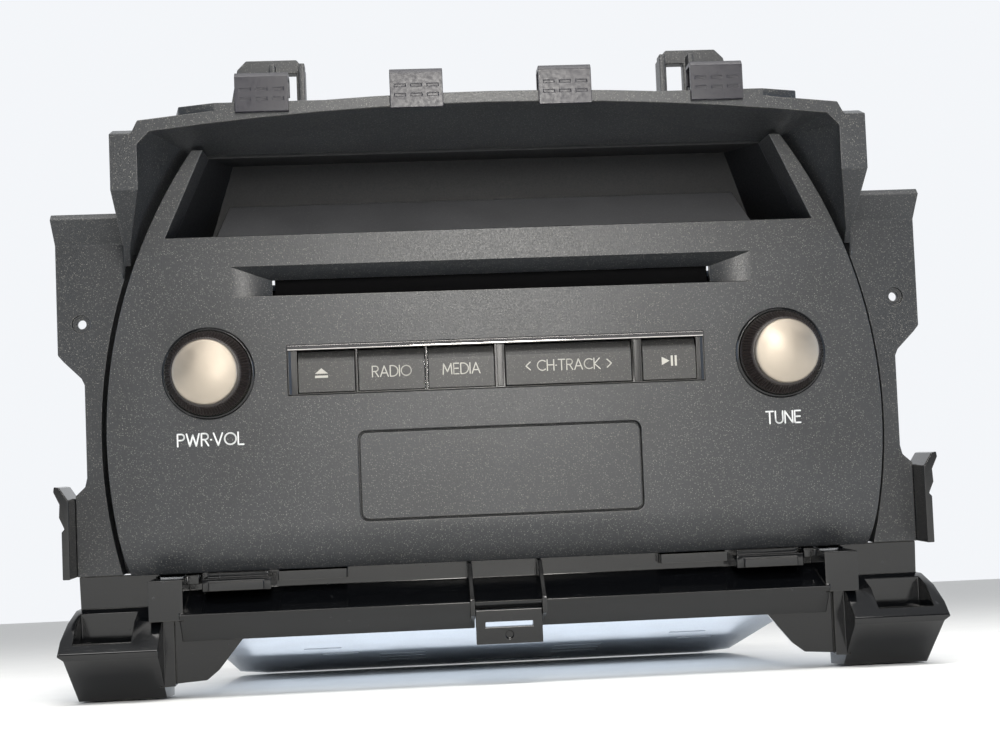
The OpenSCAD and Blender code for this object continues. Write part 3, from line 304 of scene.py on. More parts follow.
@dataclass(frozen=True)
class FleckedAbs(Finish):
    """ABS moulded in a spark-eroded tool, with a little aluminium flake in the resin.

    The eye sees a dark grey that glitters: pale flecks under half a millimetre long over a fine
    leathery grain. Its edges carry a painted highlight, a paler colour mixed in along them.
    """

    fleck_mm: float = 0.44
    fleck_share: float = 0.8
    fleck_colour: str = "#8f8e86"
    fleck_relief: float = 0.6
    # Painted edge highlight: the paler colour mixed in along the edges, and how far it reaches
    edge_highlight_colour: str = "#7d7b77"
    edge_mm: float = 0.35
    drift_mm: float = 22.0

    def dress(self, surface: Surface) -> None:
        """Scatters the flecks over the grain.

        Args:
            surface: the material being built.
        """
        tree = surface.tree
        drift = surface.noise(self.drift_mm, 3.0)
        grain = surface.noise(self.grain_mm, 3.0)
        cells = add_node(tree, "TexVoronoi", {"Scale": 1 / (self.fleck_mm * MM), "Randomness": 1.0},
            {"Vector": surface.place})
        chance = add_node(tree, "SeparateColor", {}, {"Color": cells.outputs["Color"]})
        core = surface.ramp(cells.outputs["Distance"], 1.0, 0.0, 0.16, 0.40)
        picked = surface.ramp(chance.outputs["Red"], 0.0, 1.0, 1 - self.fleck_share, 1.0)
        fleck = add_node(tree, "Math", {"operation": "MULTIPLY"}, {0: core, 1: picked}).outputs[0]
        self.vary_shade(surface, drift)
        surface.mix(None, linear(self.fleck_colour), surface.ramp(fleck, 0.0, 0.5, 0.0, 1.0))
        # Painted edge highlight: the edges are mixed towards a paler colour
        surface.paint_edge_highlights(self.edge_highlight_colour, self.edge_mm)
        self.vary_gloss(surface, grain)
        relief = add_node(tree, "Math", {"operation": "MULTIPLY_ADD", 1: self.fleck_relief},
            {0: fleck, 2: grain})
        self.emboss(surface, relief.outputs[0])


@dataclass(frozen=True)
class PolishedAbs(Finish):
    """ABS moulded in a polished tool, then handled.

    The eye sees sharp reflections that waver a little, with dust and hairline scratches where
    the part has been gripped.
    """

    dust_mm: float = 1.4
    dust_colour: str = "#5d5f62"
    dust_dullness: float = 0.5
    # Painted edge highlight: the paler colour mixed in along the edges, and how far it reaches
    edge_highlight_colour: str = "#56544f"
    edge_mm: float = 0.3
    scratch_mm: float = 0.35
    scratch_stretch: Point3 = (0.12, 1.0, 1.0)
    drift_mm: float = 26.0

    def dress(self, surface: Surface) -> None:
        """Adds the moulding's long waves, dust and stretched scratches.

        Args:
            surface: the material being built.
        """
        tree = surface.tree
        wave = surface.noise(self.drift_mm, 1.0)
        stretched = add_node(tree, "Mapping", {"Scale": self.scratch_stretch},
            {"Vector": surface.place})
        scratch = surface.noise(self.scratch_mm, 4.0, stretched.outputs["Vector"])
        dust = surface.noise(self.dust_mm, 8.0)
        specks = surface.ramp(dust, 0.0, 0.3, 0.66, 0.82)
        surface.mix(linear(self.colour), linear(self.dust_colour), specks)
        # Painted edge highlight: the edges are mixed towards a paler colour
        surface.paint_edge_highlights(self.edge_highlight_colour, self.edge_mm)
        lines = surface.ramp(scratch, 0.0, self.gloss_spread, 0.6, 0.72)
        rough = add_node(tree, "Math", {"operation": "MULTIPLY_ADD", 1: self.dust_dullness},
            {0: specks, 2: lines}).outputs[0]
        base = add_node(tree, "Math", {"operation": "ADD", 1: self.roughness}, {0: rough})
        tree.links.new(base.outputs[0], surface.shader.inputs["Roughness"])
        self.emboss(surface, wave)


@dataclass(frozen=True)
class BlastedMetal(Finish):
    """Aluminium blasted with fine beads and anodised.

    The eye sees a soft, even sheen with a very fine sparkle and slightly duller patches where
    fingers turn it.
    """

    drift_mm: float = 5.0

    def dress(self, surface: Surface) -> None:
        """Adds handling marks and the beads' pits.

        Args:
            surface: the material being built.
        """
        wear = surface.noise(self.drift_mm, 4.0)
        pits = surface.noise(self.grain_mm, 2.0)
        self.vary_shade(surface, wear)
        self.vary_gloss(surface, wear)
        self.emboss(surface, pits)


@dataclass(frozen=True)
class CoatedSheet(Finish):
    """Rolled or drawn metal with a thin coat, such as steel sheet electroplated with zinc.

    The eye sees a satin metal with faint lines along its length and cloudy patches in the coat.
    """

    roll_mm: float = 0.25
    roll_stretch: Point3 = (1.0, 0.03, 1.0)
    cloud_share: float = 0.6
    drift_mm: float = 14.0

    def dress(self, surface: Surface) -> None:
        """Adds clouds and rolling lines.

        Args:
            surface: the material being built.
        """
        tree = surface.tree
        clouds = surface.noise(self.drift_mm, 5.0)
        stretched = add_node(tree, "Mapping", {"Scale": self.roll_stretch},
            {"Vector": surface.place})
        lines = surface.noise(self.roll_mm, 2.0, stretched.outputs["Vector"])
        self.vary_shade(surface, clouds)
        blend = add_node(tree, "Math", {"operation": "MULTIPLY_ADD", 1: self.cloud_share},
            {0: clouds, 2: lines}).outputs[0]
        rough = surface.ramp(blend, self.roughness - self.gloss_spread,
            self.roughness + self.gloss_spread, 0.5, 1.1)
        tree.links.new(rough, surface.shader.inputs["Roughness"])
        self.emboss(surface, lines)


@dataclass(frozen=True)
class ClearAcrylic(Finish):
    """Moulded clear acrylic. The eye sees bright edges and the parts behind, slightly bent."""

    clearness: float = 0.9
    drift_mm: float = 9.0

    def dress(self, surface: Surface) -> None:
        """Lets light through and leaves a faint flow pattern."""
        surface.shader.inputs["Transmission Weight"].default_value = self.clearness
        self.emboss(surface, surface.noise(self.drift_mm, 1.0))


FINISHES: dict[str, Finish] = {
    # Flake-filled ABS, textured: dark grey that glitters softly
    "textured_black": FleckedAbs("flake_abs", "#26282b", 0.40, grain_mm=0.5, grain_depth_mm=0.03),
    # Polished ABS: near-black mirror gloss under dust
    "gloss_black": PolishedAbs("polished_abs", "#08090b", 0.12, gloss_spread=0.12,
        grain_depth_mm=0.02),
    # Flake-filled ABS, finer texture, as on keys that fingers wipe smooth
    "key_black": FleckedAbs("key_abs", "#2b2b2b", 0.44, grain_mm=0.35, grain_depth_mm=0.02,
        fleck_mm=0.4, fleck_share=0.6),
    # Polyacetal spring clips: smooth, waxy, violet-black
    "clip_black": Finish("acetal", "#16151f", 0.36, grain_mm=0.9, grain_depth_mm=0.01),
    # Polypropylene liner: dull, swallows light
    "pocket_black": Finish("dull_polypropylene", "#0e1014", 0.6, grain_mm=0.5),
    # Satin ABS: an even mid grey with a few flecks, lighter than the pocket round it
    "ledge_grey": FleckedAbs("satin_grey_abs", "#5c5d60", 0.5, grain_mm=0.45,
        grain_depth_mm=0.015, fleck_share=0.15),
    # Chrome plating on ABS: a mirror with faint moulding waves
    "bright_strip": Finish("chrome_plate", "#c9c6c4", 0.08, 1.0, grain_mm=30.0,
        grain_depth_mm=0.02, shade_spread=0.04, gloss_spread=0.04),
    # Thermoplastic rubber, moulded: a brown-black that shows soft, broad highlights
    "knob_rubber": Finish("soft_elastomer", "#1f1917", 0.42, grain_mm=0.3, grain_depth_mm=0.01),
    # Bead-blasted aluminium anodised champagne: warm, pale metal with a silky highlight
    "knob_metal": BlastedMetal("champagne_anodised", "#a59c90", 0.52, 1.0, grain_mm=0.14,
        grain_depth_mm=0.004, shade_spread=0.06, gloss_spread=0.07),
    # Turned steel with bright zinc plating: cool grey metal with small, sharp highlights
    "steel": Finish("zinc_plated_steel", "#9a9ca0", 0.32, 1.0, grain_mm=0.25, grain_depth_mm=0.006),
    # Electro-galvanised steel sheet: pale blue-grey, satin, a little cloudy
    "zinc_sheet": CoatedSheet("electro_zinc_sheet", "#b3b9c1", 0.42, 0.35, grain_depth_mm=0.006,
        shade_spread=0.08, gloss_spread=0.1),
    # Aluminium extrusion anodised black: dark satin metal with faint drawing lines
    "heat_sink": CoatedSheet("anodised_extrusion", "#2b2d30", 0.45, 0.6, grain_depth_mm=0.01),
    # Solder resist over glass cloth: the weave shows as a fine relief
    "board_green": Finish("solder_resist", "#12402a", 0.32, grain_mm=0.7, grain_depth_mm=0.02),
    # Natural nylon: warm white, slightly waxy
    "nylon_white": Finish("natural_nylon", "#cfcabb", 0.42, grain_mm=0.8, shade_spread=0.05),
    # Moulded black polycarbonate: plain near-black with a soft gloss
    "inner_black": Finish("black_polycarbonate", "#0c0d0f", 0.5, grain_mm=0.6),
    # Clear acrylic: bright edges over what lies behind
    "clear_guide": ClearAcrylic("clear_acrylic", "#eef3f5", 0.06, ior=1.49),
    # Ground nitrile rubber: dull black without highlights
    "roller_rubber": Finish("nitrile_rubber", "#1a1918", 0.68, grain_mm=0.4, grain_depth_mm=0.02),
    # Heat-shrunk PET sleeve: glossy dark blue with slight ripples
    "capacitor_blue": Finish("shrunk_sleeve", "#1d2748", 0.28, grain_mm=2.0),
}
# Screen-printed white ink: slightly raised, slightly rough
INK = Finish("white_ink", "#d6d8d8", 0.5, grain_mm=0.25, grain_depth_mm=0.006, shade_spread=0.08)
# Laser-etched legends on the keys, a warmer and duller white
ETCH = Finish("etched_legend", "#a8a69f", 0.55, grain_mm=0.2, grain_depth_mm=0.006)
# Tin-plated brass, stamped: pale yellowish metal
TIN = Finish("tinned_brass", "#c9b98a", 0.3, 1.0, grain_mm=0.3, grain_depth_mm=0.004)


class Paintbox:
    """Builds each finish once and hands it out."""

    def __init__(self) -> None:
        """Starts with no materials."""
        self.made: dict[str, bpy.types.Material] = {}

    def get(self, finish: Finish) -> bpy.types.Material:
        """Builds a finish's material the first time it is asked for.

        Args:
            finish: the finish.

        Returns:
            Its material.
        """
        if finish.name not in self.made:
            self.made[finish.name] = finish.build()
        return self.made[finish.name]

    def for_slot(self, slot: str) -> bpy.types.Material:
        """Returns the material of one of the record's slots."""
        return self.get(FINISHES[slot])


PAINTS = Paintbox()


# ---- mesh helpers ----


def new_piece(
    name: str, verts: Sequence[Sequence[float]], faces: Sequence[Sequence[int]],
    placement: Matrix, smooth_deg: float = 35.0,
) -> bpy.types.Object:
    """Makes a mesh object from points in metres.

    Args:
        name: the piece's name.
        verts: its points, in its own axes.
        faces: the point numbers of each face.
        placement: from its own axes to the model's frame; it is applied to the mesh.
        smooth_deg: edges blunter than this are shaded smooth.

    Returns:
        The object, linked to the scene.
    """
    mesh = bpy.data.meshes.new(name)
    mesh.from_pydata([Vector(v) for v in verts], [], [list(f) for f in faces])
    work = bmesh.new()
    work.from_mesh(mesh)
    bmesh.ops.remove_doubles(work, verts=work.verts, dist=MERGE_M)
    bmesh.ops.recalc_face_normals(work, faces=work.faces)
    work.to_mesh(mesh)
    work.free()
    mesh.transform(placement)
    mesh.polygons.foreach_set("use_smooth", [True] * len(mesh.polygons))
    mesh.set_sharp_from_angle(angle=math.radians(smooth_deg))
    made = bpy.data.objects.new(name, mesh)
    bpy.context.scene.collection.objects.link(made)
    return made


def finish_piece(
    piece: bpy.types.Object, body: str, material: bpy.types.Material, replaces: Sequence[str] = (),
) -> None:
    """Dresses a piece and hangs it on its body.

    Args:
        piece: the new object.
        body: the CAD body that it moves with.
        material: its material.
        replaces: CAD nodes that it stands for.
    """
    piece.data.materials.clear()
    piece.data.materials.append(material)
    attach(piece, body)
    if replaces:
        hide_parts(*replaces)
    LOG.info("%s: %d faces on %s", piece.name, len(piece.data.polygons), body)


@dataclass
class MeshBuffer:
    """Points and faces gathered from several shapes, in metres."""

    verts: list[Point3] = field(default_factory=list)
    faces: list[tuple[int, ...]] = field(default_factory=list)

    def add(self, verts: Sequence[Sequence[float]], faces: Sequence[Sequence[int]]) -> None:
        """Adds a shape.

        Args:
            verts: its points.
            faces: the point numbers of each face, counted from 0.
        """
        start = len(self.verts)
        self.verts += [tuple(v) for v in verts]
        self.faces += [tuple(i + start for i in face) for face in faces]

    def loft(self, rings: Sequence[tuple[Sequence[float], float]], centre: Point3) -> None:
        """Joins rings about the axis that points out of the panel, and closes both ends.

        Args:
            rings: for each ring its radii, evenly spaced in angle, and its height towards the
                viewer, in millimetres.
            centre: the axis's place, in millimetres.
        """
        count = len(rings[0][0])
        verts: list[Point3] = []
        for radii, height in rings:
            for step, radius in enumerate(radii):
                angle = 2 * math.pi * step / count
                verts.append(((centre[0] + radius * math.cos(angle)) * MM,
                    (centre[1] - height) * MM, (centre[2] + radius * math.sin(angle)) * MM))
        faces: list[tuple[int, ...]] = [
            (row * count + step, row * count + (step + 1) % count,
                (row + 1) * count + (step + 1) % count, (row + 1) * count + step)
            for row in range(len(rings) - 1)
            for step in range(count)
        ]
        last = (len(rings) - 1) * count
        faces.append(tuple(range(count)))
        faces.append(tuple(range(last, last + count)))
        self.add(verts, faces)

    def lathe(
        self, profile: Sequence[Point2], count: int, centre: Point3,
        scallop: Optional[Sequence[float]] = None, per_scallop: int = 4,
    ) -> None:
        """Turns a profile about the axis that points out of the panel.

        Args:
            profile: radius and height points in millimetres; height is towards the viewer.
            count: the number of steps round.
            centre: the axis's place, in millimetres.
            scallop: how far each profile point is cut in at the valleys of a knurl.
            per_scallop: steps round for each knurl; half of them lie in its valley.
        """
        depths = scallop or [0.0] * len(profile)
        rings = []
        for (radius, height), depth in zip(profile, depths):
            radii = [radius - (depth if step % per_scallop < per_scallop / 2 else 0.0)
                for step in range(count)]
            rings.append((radii, height))
        self.loft(rings, centre)

    def box(self, low: Sequence[float], high: Sequence[float], chamfer: float = 0.0) -> None:
        """Adds a box.

        Args:
            low: its lowest corner, in millimetres.
            high: its highest corner.
            chamfer: how far the edges of its front are cut back.
        """
        x0, y0, z0 = low
        x1, y1, z1 = high
        c = chamfer
        outline = [
            [(x0 + c, y0, z0 + c), (x1 - c, y0, z0 + c), (x1 - c, y0, z1 - c), (x0 + c, y0, z1 - c)],
            [(x0, y0 + c, z0), (x1, y0 + c, z0), (x1, y0 + c, z1), (x0, y0 + c, z1)],
            [(x0, y1, z0), (x1, y1, z0), (x1, y1, z1), (x0, y1, z1)],
        ]
        rings = outline if chamfer else outline[1:]
        verts = [tuple(v * MM for v in point) for ring in rings for point in ring]
        faces: list[tuple[int, ...]] = [(0, 1, 2, 3)]
        for row in range(len(rings) - 1):
            faces += [(row * 4 + i, row * 4 + (i + 1) % 4, row * 4 + 4 + (i + 1) % 4, row * 4 + 4 + i)
                for i in range(4)]
        last = (len(rings) - 1) * 4
        faces.append((last + 3, last + 2, last + 1, last))
        self.add(verts, faces)


def arc(
    centre: Point2, radius: float, start_deg: float, end_deg: float, steps: int = 8
) -> list[Point2]:
    """Returns the points of an arc, from start_deg to end_deg."""
    turn = (end_deg - start_deg) / steps
    return [(centre[0] + radius * math.cos(math.radians(start_deg + turn * i)),
        centre[1] + radius * math.sin(math.radians(start_deg + turn * i))) for i in range(steps + 1)]


# ---- legends ----


class Mark(Enum):
    """Symbols that a key carries in place of a word."""

    EJECT = "^"
    PLAY_PAUSE = "|"


@dataclass
class Legends:
    """Printed words and symbols, drawn as strokes one unit high."""

    gap: float = 0.19
    # A little thicker than real ink, so that it shows
    ink_mm: float = 0.03

    def glyph(self, letter: str) -> tuple[float, list[list[Point2]]]:
        """Draws one letter.

        Args:
            letter: a capital, a space, a middle dot or an arrow head.

        Returns:
            Its width and its strokes, in units of the letter height.
        """
        bowl = arc((0.30, 0.75), 0.25, 90, -90)
        shapes: dict[str, tuple[float, list[list[Point2]]]] = {
            "A": (0.74, [[(0, 0), (0.37, 1), (0.74, 0)], [(0.14, 0.33), (0.60, 0.33)]]),
            "C": (0.74, [arc((0.46, 0.5), 0.47, 52, 308, 14)]),
            "D": (0.68, [[(0, 0), (0, 1), *arc((0.22, 0.5), 0.5, 90, -90, 10), (0, 0)]]),
            "E": (0.48, [[(0.48, 0), (0, 0), (0, 1), (0.48, 1)], [(0, 0.52), (0.44, 0.52)]]),
            "H": (0.62, [[(0, 0), (0, 1)], [(0.62, 0), (0.62, 1)], [(0, 0.52), (0.62, 0.52)]]),
            "I": (0.0, [[(0, 0), (0, 1)]]),
            "K": (0.56, [[(0, 0), (0, 1)], [(0.52, 1), (0.03, 0.48), (0.56, 0)]]),
            "L": (0.44, [[(0, 1), (0, 0), (0.44, 0)]]),
            "M": (0.82, [[(0, 0), (0.06, 1), (0.41, 0.22), (0.76, 1), (0.82, 0)]]),
            "N": (0.64, [[(0, 0), (0, 1), (0.64, 0), (0.64, 1)]]),
            "O": (0.90, [arc((0.45, 0.5), 0.47, 0, 360, 20)]),
            "P": (0.55, [[(0, 0), (0, 1), *bowl, (0, 0.5)]]),
            "R": (0.56, [[(0, 0), (0, 1), *bowl, (0, 0.5)], [(0.26, 0.5), (0.56, 0)]]),
            "T": (0.60, [[(0, 1), (0.60, 1)], [(0.30, 1), (0.30, 0)]]),
            "U": (0.62, [[(0, 1), (0, 0.31), *arc((0.31, 0.31), 0.31, 180, 360, 8), (0.62, 1)]]),
            "V": (0.72, [[(0, 1), (0.36, 0), (0.72, 1)]]),
            "W": (1.02, [[(0, 1), (0.25, 0), (0.51, 0.9), (0.77, 0), (1.02, 1)]]),
            "<": (0.42, [[(0.42, 0.86), (0, 0.48), (0.42, 0.10)]]),
            ">": (0.42, [[(0, 0.86), (0.42, 0.48), (0, 0.10)]]),
            ".": (0.06, [[(0, 0.47), (0.06, 0.47)]]),
            " ": (0.30, []),
        }
        return shapes[letter]

    def ribbon(self, buffer: MeshBuffer, points: Sequence[Point2], width: float, y: float) -> None:
        """Adds one stroke as a flat band with round ends and joints.

        Args:
            buffer: where the mesh goes.
            points: the stroke's middle line, in millimetres.
            width: its width in millimetres.
            y: the depth of its front in millimetres.
        """
        half = width / 2
        for (x0, z0), (x1, z1) in zip(points, points[1:]):
            along = math.atan2(z1 - z0, x1 - x0)
            start = math.degrees(along)
            outline = arc((x0, z0), half, start + 90, start + 270, 6)
            outline += arc((x1, z1), half, start - 90, start + 90, 6)
            self.slab(buffer, outline, y)

    def slab(self, buffer: MeshBuffer, outline: Sequence[Point2], y: float) -> None:
        """Adds a slab of ink.

        Args:
            buffer: where the mesh goes.
            outline: its outline, in millimetres.
            y: the depth of its front.
        """
        count = len(outline)
        verts = [(x * MM, (y + d) * MM, z * MM) for d in (0.0, self.ink_mm) for x, z in outline]
        faces: list[tuple[int, ...]] = [tuple(range(count)), tuple(reversed(range(count, 2 * count)))]
        faces += [(i, (i + 1) % count, count + (i + 1) % count, count + i) for i in range(count)]
        buffer.add(verts, faces)

    def word(self, text: str, centre: Point3, height: float, stroke: float) -> MeshBuffer:
        """Lays out a word.

        Args:
            text: the letters.
            centre: the word's middle in the panel's axes, with the depth of its front.
            height: the letters' height in millimetres.
            stroke: the strokes' width in millimetres.

        Returns:
            The word's mesh.
        """
        drawn = [self.glyph(letter) for letter in text]
        total = sum(width for width, _ in drawn) + self.gap * (len(drawn) - 1)
        x = -total / 2
        buffer = MeshBuffer()
        for width, strokes in drawn:
            for points in strokes:
                placed = [(centre[0] + (x + px) * height, centre[2] + (pz - 0.5) * height)
                    for px, pz in points]
                self.ribbon(buffer, placed, stroke, centre[1])
            x += width + self.gap
        return buffer

    def symbol(self, mark: Mark, centre: Point3, height: float) -> MeshBuffer:
        """Draws a solid symbol.

        Args:
            mark: which symbol.
            centre: its middle in the panel's axes, with the depth of its front.
            height: its height in millimetres.

        Returns:
            The symbol's mesh.
        """
        shapes: dict[Mark, list[list[Point2]]] = {
            Mark.EJECT: [[(-0.62, -0.02), (0.62, -0.02), (0, 0.5)],
                [(-0.62, -0.42), (0.62, -0.42), (0.62, -0.2), (-0.62, -0.2)]],
            Mark.PLAY_PAUSE: [[(-0.75, -0.4), (0.02, 0), (-0.75, 0.4)],
                *([(left, -0.5), (left + 0.2, -0.5), (left + 0.2, 0.5), (left, 0.5)]
                    for left in (0.14, 0.52))],
        }
        buffer = MeshBuffer()
        for shape in shapes[mark]:
            outline = [(centre[0] + x * height, centre[2] + z * height) for x, z in shape]
            self.slab(buffer, outline, centre[1])
        return buffer


# ---- sub-assemblies ----


@dataclass
class CadPieces:
    """The CAD pieces that are shown as they are, with their finishes and softened edges."""

    shown_bevel_mm: float = 0.25
    bevel_angle_deg: float = 32.0
    weld_mm: float = 0.002
    flat_deg: float = 0.4
    bevel_segments: int = 2
    # How far large faces outweigh small ones in the shading of their shared edges; 50 is neutral
    face_weight: int = 100
    # Merging the flat faces of these would close the windows in them once they are rounded
    windowed: tuple[str, ...] = ("key_frame", "lower_rail", "lower_snap_clips", "pickup_sled",
        "slot_shutter")
    fine: Mapping[str, float] = field(default_factory=lambda: {
        "eject_key": 0.22, "radio_key": 0.22, "media_key": 0.22, "play_key": 0.22,
        "track_rocker": 0.22, "chrome_strip": 0.12, "key_frame": 0.1, "knob_rings": 0.12,
        "blank_cover": 0.2, "slot_shutter": 0.1, "roller_gear": 0.08, "drive_gear": 0.08,
        "lead_screw": 0.0, "top_spring_clips": 0.16, "centre_latch": 0.2, "ribbon_cable": 0.05,
        "chassis_tub": 0.2, "top_cover": 0.2, "front_chassis_plate": 0.2, "light_guide": 0.15,
    })
    own: Mapping[str, Finish] = field(default_factory=lambda: {
        # Near-black flap with little gloss: a painted shade, standing in for the shade inside the slot
        "slot_shutter": Finish("slot_painted_shade", "#060607", 0.9, ior=1.2, grain_mm=0.3),
        # Semi-gloss ABS round the keys: soft-edged reflections, so that the keys stand out
        "key_frame": PolishedAbs("key_surround_abs", "#0b0b0d", 0.28, grain_depth_mm=0.02),
        # Polycarbonate moulded in a matt tool: dull black, as nothing but discs touches it
        "slot_guide": Finish("guide_polycarbonate", "#08090a", 0.6, ior=1.3, grain_mm=0.4),
    })

    def dress(self) -> None:
        """Gives every CAD node its finish and softens its edges."""
        slots = {part["node"]: part["material_slot"] for part in frame["record"]["subparts"]}
        for name, node in frame["nodes"].items():
            node.data.materials.clear()
            own = self.own.get(name)
            node.data.materials.append(PAINTS.get(own) if own else PAINTS.for_slot(slots[name]))
            node.data.polygons.foreach_set("material_index", [0] * len(node.data.polygons))
            self.soften(node, self.fine.get(name, self.shown_bevel_mm))
            LOG.info("%s: %s", name, slots[name])

    def soften(self, node: bpy.types.Object, width_mm: float) -> None:
        """Rounds a node's edges with modifiers, which leave its own mesh alone.

        Args:
            node: the CAD object.
            width_mm: how far the rounding reaches from the edge.
        """
        weld = node.modifiers.new("weld", "WELD")
        weld.merge_threshold = self.weld_mm * MM
        if node.name not in self.windowed:
            flatten = node.modifiers.new("flatten", "DECIMATE")
            flatten.decimate_type = "DISSOLVE"
            flatten.angle_limit = math.radians(self.flat_deg)
        if width_mm > 0:
            bevel = node.modifiers.new("edge", "BEVEL")
            bevel.width = width_mm * MM
            bevel.segments = self.bevel_segments
            bevel.limit_method = "ANGLE"
            bevel.angle_limit = math.radians(self.bevel_angle_deg)
            bevel.use_clamp_overlap = False
            bevel.harden_normals = False
        shade = node.modifiers.new("shade", "WEIGHTED_NORMAL")
        shade.keep_sharp = False
        shade.weight = self.face_weight


@dataclass
class Knob:
    """A knob: a domed metal cap on a finely knurled skirt.  Heights are from the panel's front."""

    side: str
    body: str
    cap_steps: int = 96
    edge: float = 0.9
    roll_steps: int = 8
    dome_steps: int = 14
    knurls: int = 84
    steps_per_knurl: int = 4
    knurl_deep: float = 0.3
    knurl_rows: int = 7
    knurl_low: float = 2.2
    knurl_below_cap: float = 0.7
    foot_low: float = 0.2
    foot_high: float = 1.45
    shoulder: float = 1.0

    def build(self, face: Axes) -> None:
        """Builds the cap and the skirt in place of the plain CAD ones.

        Args:
            face: the panel's axes.
        """
        cap_low, cap_high = face.extent(f"{self.side}_knob_cap")
        skirt_low, skirt_high = face.extent(f"{self.side}_knob_skirt")
        centre = ((cap_low.x + cap_high.x) / 2, 0.0, (cap_low.z + cap_high.z) / 2)
        cap_r = (cap_high.x - cap_low.x) / 2
        skirt_r = (skirt_high.x - skirt_low.x) / 2
        seat = -cap_high.y
        self.build_cap(face, centre, cap_r, seat, -cap_low.y)
        self.build_skirt(face, centre, skirt_r, cap_r, seat)

    def build_cap(self, face: Axes, centre: Point3, radius: float, seat: float, front: float) -> None:
        """Builds the cap: a short wall, a rolled edge and a shallow dome.

        Args:
            face: the panel's axes.
            centre: the knob's axis.
            radius: the cap's radius.
            seat: the height of its back.
            front: the height of its dome.
        """
        wall = seat + self.edge
        crown = front - (wall + self.edge)
        flat_r = radius - self.edge
        dome_r = (flat_r ** 2 + crown ** 2) / (2 * crown)
        lean = math.degrees(math.asin(flat_r / dome_r))
        back = [(radius - 0.5, seat + 0.02), (radius - 0.05, seat + 0.08), (radius, wall)]
        roll = arc((flat_r, wall), self.edge, 0, 90 - lean, self.roll_steps)
        dome = arc((0.0, front - dome_r), dome_r, 90 - lean, 90, self.dome_steps)
        buffer = MeshBuffer()
        buffer.lathe([*back, *roll[1:], *dome[1:]], self.cap_steps, centre)
        piece = new_piece(f"{self.side}_cap_turned", buffer.verts, buffer.faces, face.matrix(), 60)
        finish_piece(piece, self.body, PAINTS.for_slot("knob_metal"), [f"{self.side}_knob_cap"])

    def build_skirt(
        self, face: Axes, centre: Point3, radius: float, cap_r: float, seat: float
    ) -> None:
        """Builds the skirt: a plain foot ring, a knurled cone and a shoulder under the cap.

        Args:
            face: the panel's axes.
            centre: the knob's axis.
            radius: the foot ring's radius.
            cap_r: the cap's radius.
            seat: the height of the cap's back.
        """
        top_r = cap_r + self.shoulder
        narrowing = (radius - top_r) / self.knurl_rows
        rise = (seat - self.knurl_below_cap - self.knurl_low) / self.knurl_rows
        slope = [(radius - narrowing * k, self.knurl_low + rise * k)
            for k in range(self.knurl_rows + 1)]
        foot = [(radius - 1.6, self.foot_low), (radius - 0.1, self.foot_low),
            (radius, self.foot_low + 0.12), (radius, self.foot_high),
            (radius - 0.12, self.foot_high + 0.15), (radius - 0.35, self.foot_high + 0.3)]
        top = [(top_r - 0.35, seat - 0.2), (cap_r + 0.2, seat), (cap_r - 0.6, seat)]
        cut = [0.0] * len(foot) + [self.knurl_deep] * len(slope) + [self.knurl_deep / 2, 0.0, 0.0]
        buffer = MeshBuffer()
        buffer.lathe([*foot, *slope, *top], self.knurls * self.steps_per_knurl, centre, cut,
            self.steps_per_knurl)
        piece = new_piece(f"{self.side}_skirt_knurled", buffer.verts, buffer.faces, face.matrix(), 50)
        finish_piece(piece, self.body, PAINTS.for_slot("knob_rubber"),
            [f"{self.side}_knob_skirt"])


@dataclass
class KeyBar:
    """Legends on the keys and on the panel."""

    key_text_mm: float = 2.95
    key_stroke_mm: float = 0.3
    panel_text_mm: float = 3.35
    panel_stroke_mm: float = 0.42
    panel_text_z: float = -18.2
    symbol_mm: float = 2.9
    # Height of the keys' slanted top facet, which carries no legend
    facet_mm: float = 3.1
    lift_mm: float = 1.0
    eject_shift_mm: float = -1.4
    ink_gap_mm: float = 0.012

    def build(self, face: Axes) -> None:
        """Prints every legend.

        Args:
            face: the panel's axes.
        """
        legends = Legends()
        words = {"radio_key": "RADIO", "media_key": "MEDIA", "track_rocker": "< CH.TRACK >"}
        for key, text in words.items():
            centre = self.front_of(face, key)
            buffer = legends.word(text, centre, self.key_text_mm, self.key_stroke_mm)
            self.print_on(face, buffer, f"{key}_legend", key, ETCH)
        for key, mark in (("eject_key", Mark.EJECT), ("play_key", Mark.PLAY_PAUSE)):
            x, y, z = self.front_of(face, key)
            shift = self.eject_shift_mm if mark is Mark.EJECT else 0.0
            buffer = legends.symbol(mark, (x + shift, y, z), self.symbol_mm)
            self.print_on(face, buffer, f"{key}_legend", key, ETCH)
        for side, text in (("volume", "PWR.VOL"), ("tune", "TUNE")):
            low, high = face.extent(f"{side}_knob_cap")
            centre = ((low.x + high.x) / 2, -self.ink_gap_mm, self.panel_text_z)
            buffer = legends.word(text, centre, self.panel_text_mm, self.panel_stroke_mm)
            self.print_on(face, buffer, f"{side}_legend", "radio_body", INK)

    def front_of(self, face: Axes, key: str) -> Point3:
        """Finds where a key's legend goes.

        Args:
            face: the panel's axes.
            key: the key's node.

        Returns:
            The middle of its upright front, just proud of it.
        """
        low, high = face.extent(key)
        bottom = max(low.z, face.extent("eject_key")[0].z)
        top = min(high.z, face.extent("eject_key")[1].z) - self.facet_mm
        return (low.x + high.x) / 2, low.y - self.ink_gap_mm, (bottom + top) / 2 + self.lift_mm

    def print_on(self, face: Axes, buffer: MeshBuffer, name: str, body: str, ink: Finish) -> None:
        """Makes a legend from its mesh and hangs it on a body."""
        piece = new_piece(name, buffer.verts, buffer.faces, face.matrix())
        finish_piece(piece, body, PAINTS.get(ink))


